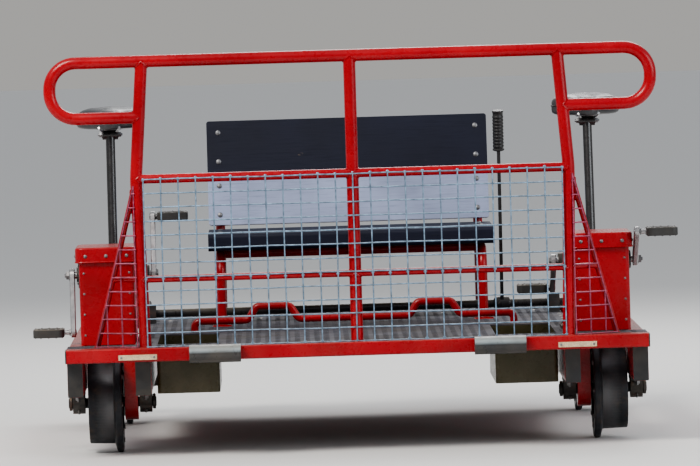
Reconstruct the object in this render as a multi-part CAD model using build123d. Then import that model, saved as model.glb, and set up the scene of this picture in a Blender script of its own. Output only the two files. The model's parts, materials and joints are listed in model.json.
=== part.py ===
from build123d import *
import math
import os

# Pedal rail bike: a light trolley on four flanged wheels with two outer pedal stations, a bench
# between them and a mesh guard in front. Millimetres. The front faces -Y, the riders' left is +X,
# +Z is up and z = 0 is the lowest edge of the wheel flanges.

# Running gear
GAUGE = 1435
FLANGE_PLAY = 7.5
TREAD_R = 120
TREAD_WIDTH = 73
TREAD_TAPER = 2
FLANGE_HEIGHT = 25
FLANGE_THICKNESS = 25
FLANGE_SLOPE = 7
RIM_THICKNESS = 18
WEB_THICKNESS = 10
WEB_SET_IN = 22
WEB_HOLE_R = 16
WEB_HOLES = 6
HUB_R = 36
HUB_SET_IN = 2
HUB_LENGTH = 88
CAST_FILLET = 6
CAST_EDGE = 3
AXLE_R = 15
AXLE_OVERHANG = 8
AXLE_CHAMFER = 2
FRONT_AXLE_FROM_FRONT = 350
REAR_AXLE_FROM_REAR = 300

# Clearances
RUN = 0.05
SEAT_GAP = 0.3
MOVE_GAP = 6
WHEEL_SIDE_GAP = 7

# Frame: two end beams of box tube, two side beams and two inner beams, and the deck's two sheets on them
FRAME_LENGTH = 1850
END_BEAM_DEPTH = 60
END_BEAM_HEIGHT = 40
END_BEAM_WALL = 3
LONG_BEAM_WIDTH = 45
LONG_BEAM_HEIGHT = 136
LONG_BEAM_WALL = 3
BEAM_CORNER_R = 6
CASE_FOOT_WIDTH = 38
BEARER_WIDTH = 40
BEARER_HEIGHT = 40
BEARER_STEP = 350
BEARERS = 3
FIRST_BEARER_FROM_FRONT = 740
DECK_THICKNESS = 4
STRIP_WHEEL_GAP = 15
COUPLING_HOLE_R = 10.5
COUPLING_HOLE_X = 150

# Axle bearings under the beams
BEARING_DROP = 35
BEARING_WIDTH = 36
BEARING_R = 31
BEARING_FOOT_LENGTH = 140
BEARING_FOOT_THICKNESS = 12
BEARING_SHOULDER = 44

# Pedal stations
CRANK_BEHIND_AXLE = 70
CRANK_ABOVE_DECK = 195
CRANK_LENGTH = 170
SPINDLE_R = 10
ARM_THICKNESS = 15
ARM_EYE_R = 20
ARM_END_R = 15
ARM_CHAMFER = 2
PIN_R = 7
PEDAL_WIDTH = 90
PEDAL_LENGTH = 100
PEDAL_THICKNESS = 24
PEDAL_RAIL = 12
PEDAL_BARREL_R = 12
PEDAL_CORNER_R = 16
PEDAL_WINDOW_R = 6
PEDAL_CHAMFER = 2
OUTER_PEDAL_REACH = 19
LEFT_OUTER_ARM_ANGLE = 30
RIGHT_OUTER_ARM_ANGLE = -75
CRANK_BEARING_R = 24
SHELL_SET_IN = 3
BRACKET_THICKNESS = 10
BRACKET_FOOT_LENGTH = 140
BRACKET_FOOT_THICKNESS = 8
BRACKET_FOOT_WIDTH = 34
BRACKET_WEB_STEP = 10
CASE_WIDTH = 160
CASE_HEIGHT = 284
CASE_BEFORE_CRANK = 125
CASE_BEHIND_CRANK = 110
CASE_WALL = 2.5
CASE_CORNER_R = 12
CASE_LID_HEIGHT = 44
CASE_LID_OVERHANG = 10
CASE_LID_EDGE = 6
CASE_FOOT_R = 52
OUTER_BEARING_LENGTH = 34
OUTER_FLANGE_R = 38
OUTER_FLANGE_THICKNESS = 5

# Sunken trays under the inner pedals
TRAY_WIDTH = 181
TRAY_LENGTH = 526
TRAY_DEPTH = 138
TRAY_WALL = 3
TRAY_RIM = 16
TRAY_CORNER_R = 8

# Saddles
SADDLE_FROM_INNER_BEAM = 67
SADDLE_TUBE_BEHIND_CRANK = 175
SADDLE_LEAN = 10
SADDLE_BEAM_DEPTH = 50
SADDLE_BEAM_HEIGHT = 40
SADDLE_TUBE_R = 21
SADDLE_TUBE_LENGTH = 280
SADDLE_POST_R = 13.5
SADDLE_POST_LENGTH = 330
SADDLE_CLAMP_R = 27
SADDLE_CLAMP_HEIGHT = 26
CLAMP_EAR_WIDTH = 22
CLAMP_EAR_REACH = 14
CLAMP_SLOT = 4
SADDLE_HEAD_R = 15
SADDLE_HEAD_WIDTH = 46
SADDLE_BEAM_WALL = 3
SADDLE_LENGTH = 275
SADDLE_REAR_WIDTH = 205
SADDLE_NOSE_WIDTH = 62
SADDLE_THICKNESS = 62
SADDLE_NOSE_LENGTH = 110
SADDLE_OUTLINE_R = 28
SADDLE_TOP_R = 20
SADDLE_UNDER_R = 8

# Front guard
POST_R = 17.5
TUBE_WALL = 2.5
POST_SET_IN = 215
POST_TOP_SET_IN = 25
POST_FOOT_SET_IN = 13
POST_BEND_R = 400
TOP_RAIL_ABOVE_DECK = 820
MID_RAIL_ABOVE_DECK = 483
LOWER_RAIL_ABOVE_DECK = 196
MID_RAIL_R = 13
LOWER_RAIL_R = 10
WING_TUBE_R = 8
WING_REACH = 127
WING_FOLD = 30
HANDLE_REACH = 240
HANDLE_HEIGHT = 160
HANDLE_BEND_R = 75
MESH_PITCH_X = 50
MESH_PITCH_Z = 40
MESH_WIRE = 4

# Buffers and reflectors on the end beams
BUFFER_SET_IN = 427
BUFFER_LENGTH = 147
BUFFER_DEPTH = 60
BUFFER_HEIGHT = 50
BUFFER_HOLE_R = 10
REFLECTOR_SET_IN = 205
REFLECTOR_LENGTH = 110
REFLECTOR_HEIGHT = 15
REFLECTOR_THICKNESS = 4
REFLECTOR_BELOW_DECK = 26

# Bench
BENCH_FROM_FRONT = 1000
BENCH_WIDTH = 860
SEAT_DEPTH = 360
SEAT_THICKNESS = 52
SEAT_EDGE_R = 13
SEAT_ABOVE_DECK = 280
BENCH_TUBE_R = 14
BENCH_LEG_X = 395
BENCH_LEG_SET_BACK = 40
BENCH_CROSS_SET_BACK = 120
BENCH_BEND_R = 60
BACK_POST_GAP = 24
BACK_LEAN = 10
BACK_BOARD_THICKNESS = 20
BACK_LOWER_HEIGHT = 152
BACK_UPPER_HEIGHT = 162
BACK_BOARD_GAP = 8
BACK_ABOVE_SEAT = 8
BOARD_CORNER_R = 8
FOOT_PLATE_SIZE = 56
FOOT_PLATE_THICKNESS = 5
FOOT_PLATE_CORNER_R = 8

# Foot rest
FOOT_REST_FROM_FRONT = 750
FOOT_REST_HALF = 475
FOOT_REST_R = 11
FOOT_REST_ABOVE_DECK = 32
FOOT_HUMP_X = 240
FOOT_HUMP_HALF = 50
FOOT_HUMP_SLOPE = 25
FOOT_HUMP_RISE = 40
FOOT_BEND_R = 18

# Brake
BRAKE_SHAFT_BEFORE_AXLE = 225
BRAKE_SHAFT_R = 12.5
BRAKE_SHAFT_ABOVE_DECK = 30
BRAKE_ARM_WIDTH = 16
BRAKE_ARM_TIP_R = 9
BRAKE_HUB_R = 22
BRAKE_TRAVEL_ANGLE = 9
SHOE_WIDTH = 60
SHOE_THICKNESS = 24
SHOE_CLEARANCE = 6
SHOE_PLACE_ANGLE = 25
SHOE_SPAN_ANGLE = 28
LEVER_BENCH_GAP = 30
LEVER_LENGTH = 600
LEVER_LEAN = 9
LEVER_FOOT_WIDTH = 34
LEVER_TOP_WIDTH = 20
LEVER_THICKNESS = 10
GRIP_R = 15
GRIP_LENGTH = 125
BRAKE_BLOCK_LENGTH = 56
BRAKE_BLOCK_OVER = 14

# Places worked out from the sizes above
FRONT = -FRAME_LENGTH / 2
REAR = FRAME_LENGTH / 2
FLANGE_R = TREAD_R + FLANGE_HEIGHT
AXLE_Z = FLANGE_R
FLANGE_FACE_X = GAUGE / 2 - FLANGE_PLAY
FLANGE_BACK_X = FLANGE_FACE_X - FLANGE_THICKNESS
WHEEL_FACE_X = FLANGE_FACE_X + TREAD_WIDTH
FRONT_AXLE_Y = FRONT + FRONT_AXLE_FROM_FRONT
REAR_AXLE_Y = REAR - REAR_AXLE_FROM_REAR
BEAM_BOTTOM = AXLE_Z + BEARING_DROP
BEAM_TOP = BEAM_BOTTOM + LONG_BEAM_HEIGHT
DECK_TOP = BEAM_TOP + DECK_THICKNESS
END_BEAM_BOTTOM = DECK_TOP - END_BEAM_HEIGHT
SIDE_BEAM_X = WHEEL_FACE_X + WHEEL_SIDE_GAP
HALF_WIDTH = SIDE_BEAM_X + LONG_BEAM_WIDTH
INNER_BEAM_X = FLANGE_BACK_X - WHEEL_SIDE_GAP - CASE_FOOT_WIDTH
INNER_BEAM_INSIDE = INNER_BEAM_X - LONG_BEAM_WIDTH
INNER_BEAM_MID = INNER_BEAM_X - LONG_BEAM_WIDTH / 2
BEAM_FRONT = FRONT + END_BEAM_DEPTH
BEAM_REAR = REAR - END_BEAM_DEPTH
WHEEL_MID_X = (FLANGE_FACE_X + WHEEL_FACE_X) / 2
CRANK_Y = FRONT_AXLE_Y + CRANK_BEHIND_AXLE
CRANK_Z = DECK_TOP + CRANK_ABOVE_DECK
CASE_OUTSIDE = INNER_BEAM_X + CASE_WIDTH
SHELL_INSIDE = INNER_BEAM_INSIDE + SHELL_SET_IN
INNER_ARM_X = SHELL_INSIDE - MOVE_GAP
OUTER_ARM_X = CASE_OUTSIDE + CASE_LID_OVERHANG + MOVE_GAP
OUTER_PEDAL_X = OUTER_ARM_X + ARM_THICKNESS + OUTER_PEDAL_REACH
INNER_PEDAL_X = INNER_ARM_X - ARM_THICKNESS - MOVE_GAP
SADDLE_X = INNER_BEAM_X + SADDLE_FROM_INNER_BEAM
POST_Y = FRONT + END_BEAM_DEPTH / 2
POST_X_MID = HALF_WIDTH - POST_SET_IN
POST_X_TOP = POST_X_MID - POST_TOP_SET_IN
POST_X_DECK = POST_X_MID - POST_FOOT_SET_IN
HANDLE_X = POST_X_MID + HANDLE_REACH
WING_FOOT_X = POST_X_MID + WING_REACH
BUFFER_X = HALF_WIDTH - BUFFER_SET_IN
REFLECTOR_X = HALF_WIDTH - REFLECTOR_SET_IN
TOP_RAIL_Z = DECK_TOP + TOP_RAIL_ABOVE_DECK
MID_RAIL_Z = DECK_TOP + MID_RAIL_ABOVE_DECK
BENCH_Y = FRONT + BENCH_FROM_FRONT
SEAT_TOP = DECK_TOP + SEAT_ABOVE_DECK
SEAT_BOTTOM = SEAT_TOP - SEAT_THICKNESS
BACK_POST_Y = BENCH_Y + SEAT_DEPTH + BACK_POST_GAP + BENCH_TUBE_R
BACK_LOWER_START = SEAT_THICKNESS + BACK_ABOVE_SEAT
BACK_UPPER_START = BACK_LOWER_START + BACK_LOWER_HEIGHT + BACK_BOARD_GAP
LEVER_X = BENCH_WIDTH / 2 + LEVER_BENCH_GAP
BRAKE_Y = REAR_AXLE_Y - BRAKE_SHAFT_BEFORE_AXLE
BRAKE_Z = DECK_TOP + BRAKE_SHAFT_ABOVE_DECK
DECK_JOINT_Y = FRONT + FIRST_BEARER_FROM_FRONT + (BEARERS - 1) * BEARER_STEP
CUT_PAST = 1
SIDES = (("left", 1), ("right", -1))


def block(x, y, z):
    """A block between the limits given as pairs along X, Y and Z."""
    middle = Pos((x[0] + x[1]) / 2, (y[0] + y[1]) / 2, (z[0] + z[1]) / 2)
    return middle * Box(x[1] - x[0], y[1] - y[0], z[1] - z[0])


def rod(start, end, radius):
    """A solid round bar between two points."""
    along = Vector(*end) - Vector(*start)
    return extrude(Plane(origin=start, z_dir=along) * Circle(radius), along.length)


def pipe(points, radius, bend=0.0, wall=TUBE_WALL):
    """A bent round tube through the points; wall 0 gives the full bar, used to cut joints."""
    path = FilletPolyline(*points, radius=bend) if bend else Polyline(*points)
    section = Circle(radius) - Circle(radius - wall) if wall else Circle(radius)
    return sweep(Plane(origin=path @ 0, z_dir=path % 0) * section, path)


def along_x(sketch, x_from, x_to):
    """A sketch drawn with (y, z) as its plane, thickened between two places along X."""
    return extrude(Plane(origin=(x_from, 0, 0), x_dir=(0, 1, 0), z_dir=(1, 0, 0)) * sketch, x_to - x_from)


def on_side(shape, side):
    """The shape made for the left, or its mirror image for the right."""
    return shape if side > 0 else mirror(shape, about=Plane.YZ)


def both_sides(shape):
    """The left shape and its mirror image, as the separate solids of one node."""
    return Compound(children=list(shape.solids()) + list(mirror(shape, about=Plane.YZ).solids()))


def box_tube(x, y, z, wall, axis):
    """A box tube with round corners, open at its two ends, that runs along the axis numbered 0, 1 or 2."""
    spans = (x, y, z)
    units = ((1, 0, 0), (0, 1, 0), (0, 0, 1))
    wide = spans[(axis + 1) % 3][1] - spans[(axis + 1) % 3][0]
    high = spans[(axis + 2) % 3][1] - spans[(axis + 2) % 3][0]
    outer = RectangleRounded(wide, high, BEAM_CORNER_R)
    inner = RectangleRounded(wide - 2 * wall, high - 2 * wall, BEAM_CORNER_R - wall)
    middle = [(low + top) / 2 for low, top in spans]
    plane = Plane(origin=middle, x_dir=units[(axis + 1) % 3], z_dir=units[axis])
    return extrude(plane * (outer - inner), (spans[axis][1] - spans[axis][0]) / 2, both=True)


def upright_box(x, y, z, radius):
    """A block whose four upright edges are round."""
    middle = Pos((x[0] + x[1]) / 2, (y[0] + y[1]) / 2, z[0])
    return extrude(middle * RectangleRounded(x[1] - x[0], y[1] - y[0], radius), z[1] - z[0])


def grown(span, amount):
    """The pair of limits moved apart by the amount at each end."""
    return span[0] - amount, span[1] + amount


def end_beam(y_from, y_to):
    """Box tube across the vehicle's end, with two holes for the pins of a coupling."""
    z = (END_BEAM_BOTTOM, DECK_TOP)
    beam = box_tube((-HALF_WIDTH, HALF_WIDTH), (y_from, y_to), z, END_BEAM_WALL, 0)
    for way in (-1, 1):
        foot = (way * COUPLING_HOLE_X, (y_from + y_to) / 2, END_BEAM_BOTTOM - CUT_PAST)
        beam -= rod(foot, (foot[0], foot[1], DECK_TOP + CUT_PAST), COUPLING_HOLE_R)
    return beam


def long_beam(x_from):
    """Deep box tube along the vehicle, between the end beams."""
    x = (x_from, x_from + LONG_BEAM_WIDTH)
    return box_tube(x, (BEAM_FRONT, BEAM_REAR), (BEAM_BOTTOM, BEAM_TOP), LONG_BEAM_WALL, 1)


def cross_bearers():
    """Square tubes under the deck, between the inner beams."""
    bearers = []
    for number in range(BEARERS):
        y = FRONT + FIRST_BEARER_FROM_FRONT + number * BEARER_STEP
        x = (-INNER_BEAM_INSIDE, INNER_BEAM_INSIDE)
        z = (BEAM_TOP - BEARER_HEIGHT, BEAM_TOP)
        bearers.append(box_tube(x, (y - BEARER_WIDTH / 2, y + BEARER_WIDTH / 2), z, LONG_BEAM_WALL, 0))
    return Compound(children=bearers)


def tray_limits():
    """Outer limits of the left tray's walls, without its rim."""
    outside = INNER_BEAM_INSIDE - TRAY_RIM
    return (outside - TRAY_WIDTH, outside), (CRANK_Y - TRAY_LENGTH / 2, CRANK_Y + TRAY_LENGTH / 2)


def pedal_tray():
    """Pressed tray with a rim that hangs on the deck's underside."""
    x, y = tray_limits()
    top = BEAM_TOP
    walls = upright_box(x, y, (top - TRAY_DEPTH, top), TRAY_CORNER_R + TRAY_WALL)
    rim = block((x[0] - TRAY_RIM, x[1] + TRAY_RIM - SEAT_GAP), grown(y, TRAY_RIM), (top - TRAY_WALL, top))
    floor = top - TRAY_DEPTH + TRAY_WALL
    return walls + rim - upright_box(grown(x, -TRAY_WALL), grown(y, -TRAY_WALL), (floor, top + CUT_PAST),
                                     TRAY_CORNER_R)


def deck_plate():
    """Front and rear deck sheets, which meet on the last bearer, with wells over the trays."""
    z = (BEAM_TOP, DECK_TOP)
    front_strip = FRONT_AXLE_Y - FLANGE_R - STRIP_WHEEL_GAP
    rear_strip = REAR_AXLE_Y + FLANGE_R + STRIP_WHEEL_GAP
    front = block((-INNER_BEAM_X, INNER_BEAM_X), (BEAM_FRONT, DECK_JOINT_Y - SEAT_GAP), z)
    front += block((-HALF_WIDTH, HALF_WIDTH), (BEAM_FRONT, front_strip), z)
    rear = block((-INNER_BEAM_X, INNER_BEAM_X), (DECK_JOINT_Y, BEAM_REAR), z)
    rear += block((-HALF_WIDTH, HALF_WIDTH), (rear_strip, BEAM_REAR), z)
    x, y = tray_limits()
    well = upright_box(grown(x, -TRAY_WALL), grown(y, -TRAY_WALL), grown(z, CUT_PAST), TRAY_CORNER_R)
    front = front - well - mirror(well, about=Plane.YZ)
    return Compound(children=[front.solid(), rear.solid()])


def axle_bearing(x_mid, y):
    """A bearing block whose foot is bolted under a beam, with the axle's running fit in it."""
    foot_mid = Pos(y, BEAM_BOTTOM - BEARING_FOOT_THICKNESS / 2)
    foot = foot_mid * Rectangle(BEARING_FOOT_LENGTH, BEARING_FOOT_THICKNESS)
    ring = Pos(y, AXLE_Z) * Circle(BEARING_R)
    shoulder = Pos(y, BEAM_BOTTOM - BEARING_FOOT_THICKNESS) * Circle(BEARING_SHOULDER)
    cut_width = 2 * (BEARING_SHOULDER + CUT_PAST)
    above = Pos(y, BEAM_BOTTOM + BEARING_SHOULDER / 2) * Rectangle(cut_width, BEARING_SHOULDER)
    housing = foot + ring + (shoulder - above) - Pos(y, AXLE_Z) * Circle(AXLE_R + RUN)
    return along_x(housing, x_mid - BEARING_WIDTH / 2, x_mid + BEARING_WIDTH / 2)


def axle_bearings():
    """Eight bearing blocks: one on each side of every wheel."""
    outer_mid = HALF_WIDTH - LONG_BEAM_WIDTH / 2
    blocks = []
    for y in (FRONT_AXLE_Y, REAR_AXLE_Y):
        for x_mid in (INNER_BEAM_MID, outer_mid):
            blocks.append(axle_bearing(x_mid, y))
            blocks.append(axle_bearing(-x_mid, y))
    return Compound(children=blocks)


def turned(rows, y):
    """A form turned about the axle at y; each row is (place along X, radius, corner radius)."""
    face = make_face(Polyline(*[(x, radius) for x, radius, corner in rows], close=True))
    for x, radius, corner in rows:
        if corner:
            face = fillet(face.vertices().sort_by_distance((x, radius, 0))[0], corner)
    return Pos(0, y, AXLE_Z) * revolve(Plane.XZ * face, Axis.X)


def wheel(y):
    """Left wheel: the casting on its stub axle, and the flange ring bolted to its inner side."""
    rim_r = TREAD_R - RIM_THICKNESS
    web = (FLANGE_FACE_X + WEB_SET_IN, FLANGE_FACE_X + WEB_SET_IN + WEB_THICKNESS)
    hub = (FLANGE_BACK_X + HUB_SET_IN, FLANGE_BACK_X + HUB_SET_IN + HUB_LENGTH)
    axle = (INNER_BEAM_INSIDE - AXLE_OVERHANG, HALF_WIDTH + AXLE_OVERHANG)
    # Columns: place along X, radius, corner radius
    casting = turned((
        (axle[0], 0, 0),
        (axle[0], AXLE_R - AXLE_CHAMFER, 0),
        (axle[0] + AXLE_CHAMFER, AXLE_R, 0),
        (hub[0], AXLE_R, 0),
        (hub[0], HUB_R, CAST_EDGE),
        (web[0], HUB_R, CAST_FILLET),
        (web[0], rim_r, CAST_FILLET),
        (FLANGE_FACE_X, rim_r, 0),
        (FLANGE_FACE_X, TREAD_R, 0),
        (WHEEL_FACE_X, TREAD_R - TREAD_TAPER, CAST_EDGE),
        (WHEEL_FACE_X, rim_r, CAST_EDGE),
        (web[1], rim_r, CAST_FILLET),
        (web[1], HUB_R, CAST_FILLET),
        (hub[1], HUB_R, CAST_EDGE),
        (hub[1], AXLE_R, 0),
        (axle[1] - AXLE_CHAMFER, AXLE_R, 0),
        (axle[1], AXLE_R - AXLE_CHAMFER, 0),
        (axle[1], 0, 0),
    ), y)
    ring = turned((
        (FLANGE_BACK_X, rim_r, 0),
        (FLANGE_BACK_X, FLANGE_R, CAST_FILLET),
        (FLANGE_FACE_X - FLANGE_SLOPE, FLANGE_R, CAST_FILLET),
        (FLANGE_FACE_X, TREAD_R, 0),
        (FLANGE_FACE_X, rim_r, 0),
    ), y)
    holes = PolarLocations((HUB_R + rim_r) / 2, WEB_HOLES) * Circle(WEB_HOLE_R)
    casting -= along_x(Pos(y, AXLE_Z) * (Sketch() + holes), *grown(web, CUT_PAST))
    return Compound(children=[casting.solid(), ring.solid()])


def case_foot(inset):
    """The case's foot from the front axle up into the case's floor, made smaller all round by the inset."""
    radius = CASE_FOOT_R - inset
    top = BEAM_TOP + CASE_WALL + inset
    foot = Pos(FRONT_AXLE_Y, AXLE_Z) * Circle(radius)
    foot += Pos(FRONT_AXLE_Y, (AXLE_Z + top) / 2) * Rectangle(2 * radius, top - AXLE_Z)
    return along_x(foot, INNER_BEAM_X + inset, INNER_BEAM_X + CASE_FOOT_WIDTH - inset)


def chain_case():
    """Sheet case over the chain: a box with an overhanging lid and a foot round the front axle."""
    x = (INNER_BEAM_X, CASE_OUTSIDE)
    y = (CRANK_Y - CASE_BEFORE_CRANK, CRANK_Y + CASE_BEHIND_CRANK)
    top = BEAM_TOP + CASE_HEIGHT
    under_lid = top - CASE_WALL
    body = upright_box(x, y, (BEAM_TOP, under_lid), CASE_CORNER_R)
    lid_x = grown(x, CASE_LID_OVERHANG)
    lid_y = grown(y, CASE_LID_OVERHANG)
    lid_r = CASE_CORNER_R + CASE_LID_OVERHANG
    lid_bottom = top - CASE_LID_HEIGHT
    lid = upright_box(lid_x, lid_y, (lid_bottom, top), lid_r)
    lid = fillet(lid.faces().sort_by(Axis.Z)[-1].edges(), CASE_LID_EDGE)
    lid -= upright_box(grown(lid_x, -CASE_WALL), grown(lid_y, -CASE_WALL), (lid_bottom - CUT_PAST, under_lid),
                       lid_r - CASE_WALL)
    inside = upright_box(grown(x, -CASE_WALL), grown(y, -CASE_WALL), (BEAM_TOP + CASE_WALL, under_lid),
                         CASE_CORNER_R - CASE_WALL)
    case = body + lid + case_foot(0) - inside - case_foot(CASE_WALL)
    inner_wall = (INNER_BEAM_X - CUT_PAST, INNER_BEAM_X + CASE_WIDTH / 2)
    outer_wall = (inner_wall[1], CASE_OUTSIDE + CUT_PAST)
    case -= along_x(Pos(FRONT_AXLE_Y, AXLE_Z) * Circle(AXLE_R + MOVE_GAP), *inner_wall)
    case -= along_x(Pos(CRANK_Y, CRANK_Z) * Circle(SPINDLE_R + MOVE_GAP), *inner_wall)
    case -= along_x(Pos(CRANK_Y, CRANK_Z) * Circle(CRANK_BEARING_R + SEAT_GAP), *outer_wall)
    return case


def crank_bearings():
    """Inner bearing shell on its bracket, and the bearing in the case's outer wall."""
    bore = Pos(CRANK_Y, CRANK_Z) * Circle(SPINDLE_R + RUN)
    ring = Pos(CRANK_Y, CRANK_Z) * Circle(CRANK_BEARING_R)
    shell = along_x(ring, SHELL_INSIDE, INNER_BEAM_X)
    foot_y = (CRANK_Y - BRACKET_FOOT_LENGTH / 2, CRANK_Y + BRACKET_FOOT_LENGTH / 2)
    foot_top = DECK_TOP + BRACKET_FOOT_THICKNESS
    foot = block((INNER_BEAM_MID - BRACKET_FOOT_WIDTH / 2, INNER_BEAM_MID + BRACKET_FOOT_WIDTH / 2), foot_y,
                 (DECK_TOP, foot_top))
    web = Polyline((foot_y[0] + BRACKET_WEB_STEP, foot_top), (foot_y[1] - BRACKET_WEB_STEP, foot_top),
                   (CRANK_Y + CRANK_BEARING_R, CRANK_Z), (CRANK_Y - CRANK_BEARING_R, CRANK_Z), close=True)
    plate = along_x(make_face(web), *grown((INNER_BEAM_MID, INNER_BEAM_MID), BRACKET_THICKNESS / 2))
    inner = shell + foot + plate - along_x(bore, SHELL_INSIDE - CUT_PAST, INNER_BEAM_X + CUT_PAST)
    outer_face = CASE_OUTSIDE + CASE_LID_OVERHANG
    outer = along_x(ring - bore, outer_face - OUTER_BEARING_LENGTH, outer_face)
    flange = Pos(CRANK_Y, CRANK_Z) * Circle(OUTER_FLANGE_R)
    outer += along_x(flange - bore, CASE_OUTSIDE, CASE_OUTSIDE + OUTER_FLANGE_THICKNESS)
    return Compound(children=[inner.solid(), outer.solid()])


def pedal_place(angle):
    """Where a pedal pin crosses the Y Z plane, for an arm at this angle above straight ahead."""
    turn = math.radians(angle)
    return CRANK_Y - CRANK_LENGTH * math.cos(turn), CRANK_Z + CRANK_LENGTH * math.sin(turn)


def crank_arm(angle, x_from):
    """A tapered arm from the spindle's eye to the pedal pin's end."""
    y, z = pedal_place(angle)
    eye = Pos(CRANK_Y, CRANK_Z) * Circle(ARM_EYE_R)
    end = Pos(y, z) * Circle(ARM_END_R)
    arm = along_x(make_hull((eye + end).edges()), x_from, x_from + ARM_THICKNESS)
    faces = arm.faces().sort_by(Axis.X)
    return chamfer(faces[0].edges() + faces[-1].edges(), ARM_CHAMFER)


def crank_set(outer_angle):
    """Spindle, outer and inner arm and both pedal pins of the left station."""
    spindle = rod((INNER_ARM_X, CRANK_Y, CRANK_Z), (OUTER_ARM_X, CRANK_Y, CRANK_Z), SPINDLE_R)
    outer_y, outer_z = pedal_place(outer_angle)
    inner_y, inner_z = pedal_place(outer_angle + 180)
    outer = crank_arm(outer_angle, OUTER_ARM_X)
    inner = crank_arm(outer_angle + 180, INNER_ARM_X - ARM_THICKNESS)
    pin_reach = PEDAL_WIDTH - PEDAL_RAIL
    outer += rod((OUTER_ARM_X, outer_y, outer_z), (OUTER_PEDAL_X + pin_reach, outer_y, outer_z), PIN_R)
    inner += rod((INNER_ARM_X, inner_y, inner_z), (INNER_PEDAL_X - pin_reach, inner_y, inner_z), PIN_R)
    return spindle + outer + inner


def pedal(x_from, angle, open_end):
    """A platform pedal: a barrel on the pin and a frame around it, blind at its outer end."""
    y, z = pedal_place(angle)
    x = (x_from, x_from + PEDAL_WIDTH)
    bottom = (x[0] + x[1]) / 2, y, z - PEDAL_THICKNESS / 2
    outline = RectangleRounded(PEDAL_WIDTH, PEDAL_LENGTH, PEDAL_CORNER_R)
    frame = extrude(Pos(*bottom) * outline, PEDAL_THICKNESS)
    faces = frame.faces().sort_by(Axis.Z)
    frame = chamfer(faces[0].edges() + faces[-1].edges(), PEDAL_CHAMFER)
    window = PEDAL_WIDTH - 2 * PEDAL_RAIL
    reach = PEDAL_LENGTH / 2 - PEDAL_RAIL - PEDAL_BARREL_R
    for way in (-1, 1):
        middle = Pos(bottom[0], y + way * (PEDAL_BARREL_R + reach / 2), bottom[2])
        frame -= extrude(middle * RectangleRounded(window, reach, PEDAL_WINDOW_R), PEDAL_THICKNESS)
    bore_x = (x[0] - CUT_PAST, x[1] - PEDAL_RAIL + CUT_PAST)
    if open_end > 0:
        bore_x = (x[0] + PEDAL_RAIL - CUT_PAST, x[1] + CUT_PAST)
    return frame - rod((bore_x[0], y, z), (bore_x[1], y, z), PIN_R + RUN)


def saddle_axis_point(distance):
    """A point on the sloping saddle tube's axis, measured up from the saddle beam's top."""
    turn = math.radians(SADDLE_LEAN)
    y = CRANK_Y + SADDLE_TUBE_BEHIND_CRANK + distance * math.sin(turn)
    return SADDLE_X, y, BEAM_TOP + distance * math.cos(turn)


def saddle_frame():
    """Beam between the side beam and the inner beam, saddle tube with its slotted clamp, and post."""
    y_mid = CRANK_Y + SADDLE_TUBE_BEHIND_CRANK
    y = (y_mid - SADDLE_BEAM_DEPTH / 2, y_mid + SADDLE_BEAM_DEPTH / 2)
    z = (BEAM_TOP - SADDLE_BEAM_HEIGHT, BEAM_TOP)
    beam = box_tube((INNER_BEAM_X, SIDE_BEAM_X), y, z, SADDLE_BEAM_WALL, 0)
    tube = rod(saddle_axis_point(-SADDLE_TUBE_R), saddle_axis_point(SADDLE_TUBE_LENGTH), SADDLE_TUBE_R)
    clamp_from = saddle_axis_point(SADDLE_TUBE_LENGTH - SADDLE_CLAMP_HEIGHT)
    clamp_to = saddle_axis_point(SADDLE_TUBE_LENGTH)
    tube += rod(clamp_from, clamp_to, SADDLE_CLAMP_R)
    plane = Plane(origin=clamp_from, x_dir=(1, 0, 0), z_dir=Vector(*clamp_to) - Vector(*clamp_from))
    reach = SADDLE_CLAMP_R + CLAMP_EAR_REACH
    tube += extrude(plane * Pos(0, reach / 2) * Rectangle(CLAMP_EAR_WIDTH, reach), SADDLE_CLAMP_HEIGHT)
    slot = Pos(0, reach / 2) * Rectangle(CLAMP_SLOT, reach + 2 * CUT_PAST)
    tube -= extrude(plane * slot, SADDLE_CLAMP_HEIGHT + CUT_PAST)
    top = saddle_axis_point(SADDLE_TUBE_LENGTH + SADDLE_POST_LENGTH)
    post_bar = rod(clamp_from, top, SADDLE_POST_R)
    half = SADDLE_HEAD_WIDTH / 2
    head = rod((top[0] - half, top[1], top[2]), (top[0] + half, top[1], top[2]), SADDLE_HEAD_R)
    return beam + tube + post_bar + head


def saddle():
    """Plain closed saddle pad: a broad back and a narrow nose, domed by its rounded edges."""
    x, y, z = saddle_axis_point(SADDLE_TUBE_LENGTH + SADDLE_POST_LENGTH)
    back = SADDLE_LENGTH / 2
    nose = back - SADDLE_NOSE_LENGTH
    rear_half = SADDLE_REAR_WIDTH / 2
    nose_half = SADDLE_NOSE_WIDTH / 2
    outline = Polyline((-rear_half, back), (rear_half, back), (rear_half, back / 2), (nose_half, -nose),
                       (nose_half, -back), (-nose_half, -back), (-nose_half, -nose), (-rear_half, back / 2),
                       close=True)
    flat = fillet(make_face(outline).vertices(), SADDLE_OUTLINE_R)
    pad = extrude(Plane(origin=(x, y, z + SADDLE_HEAD_R + SEAT_GAP)) * flat, SADDLE_THICKNESS)
    pad = fillet(pad.edges().group_by(Axis.Z)[-1], SADDLE_TOP_R)
    return fillet(pad.edges().group_by(Axis.Z)[0], SADDLE_UNDER_R)


def post_point(height):
    """Place of the left guard post's centre line at a height above the deck."""
    if height < MID_RAIL_ABOVE_DECK:
        share = height / MID_RAIL_ABOVE_DECK
        return POST_X_DECK + share * (POST_X_MID - POST_X_DECK), POST_Y, DECK_TOP + height
    share = (height - MID_RAIL_ABOVE_DECK) / (TOP_RAIL_ABOVE_DECK - MID_RAIL_ABOVE_DECK)
    return POST_X_MID + share * (POST_X_TOP - POST_X_MID), POST_Y, DECK_TOP + height


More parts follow.
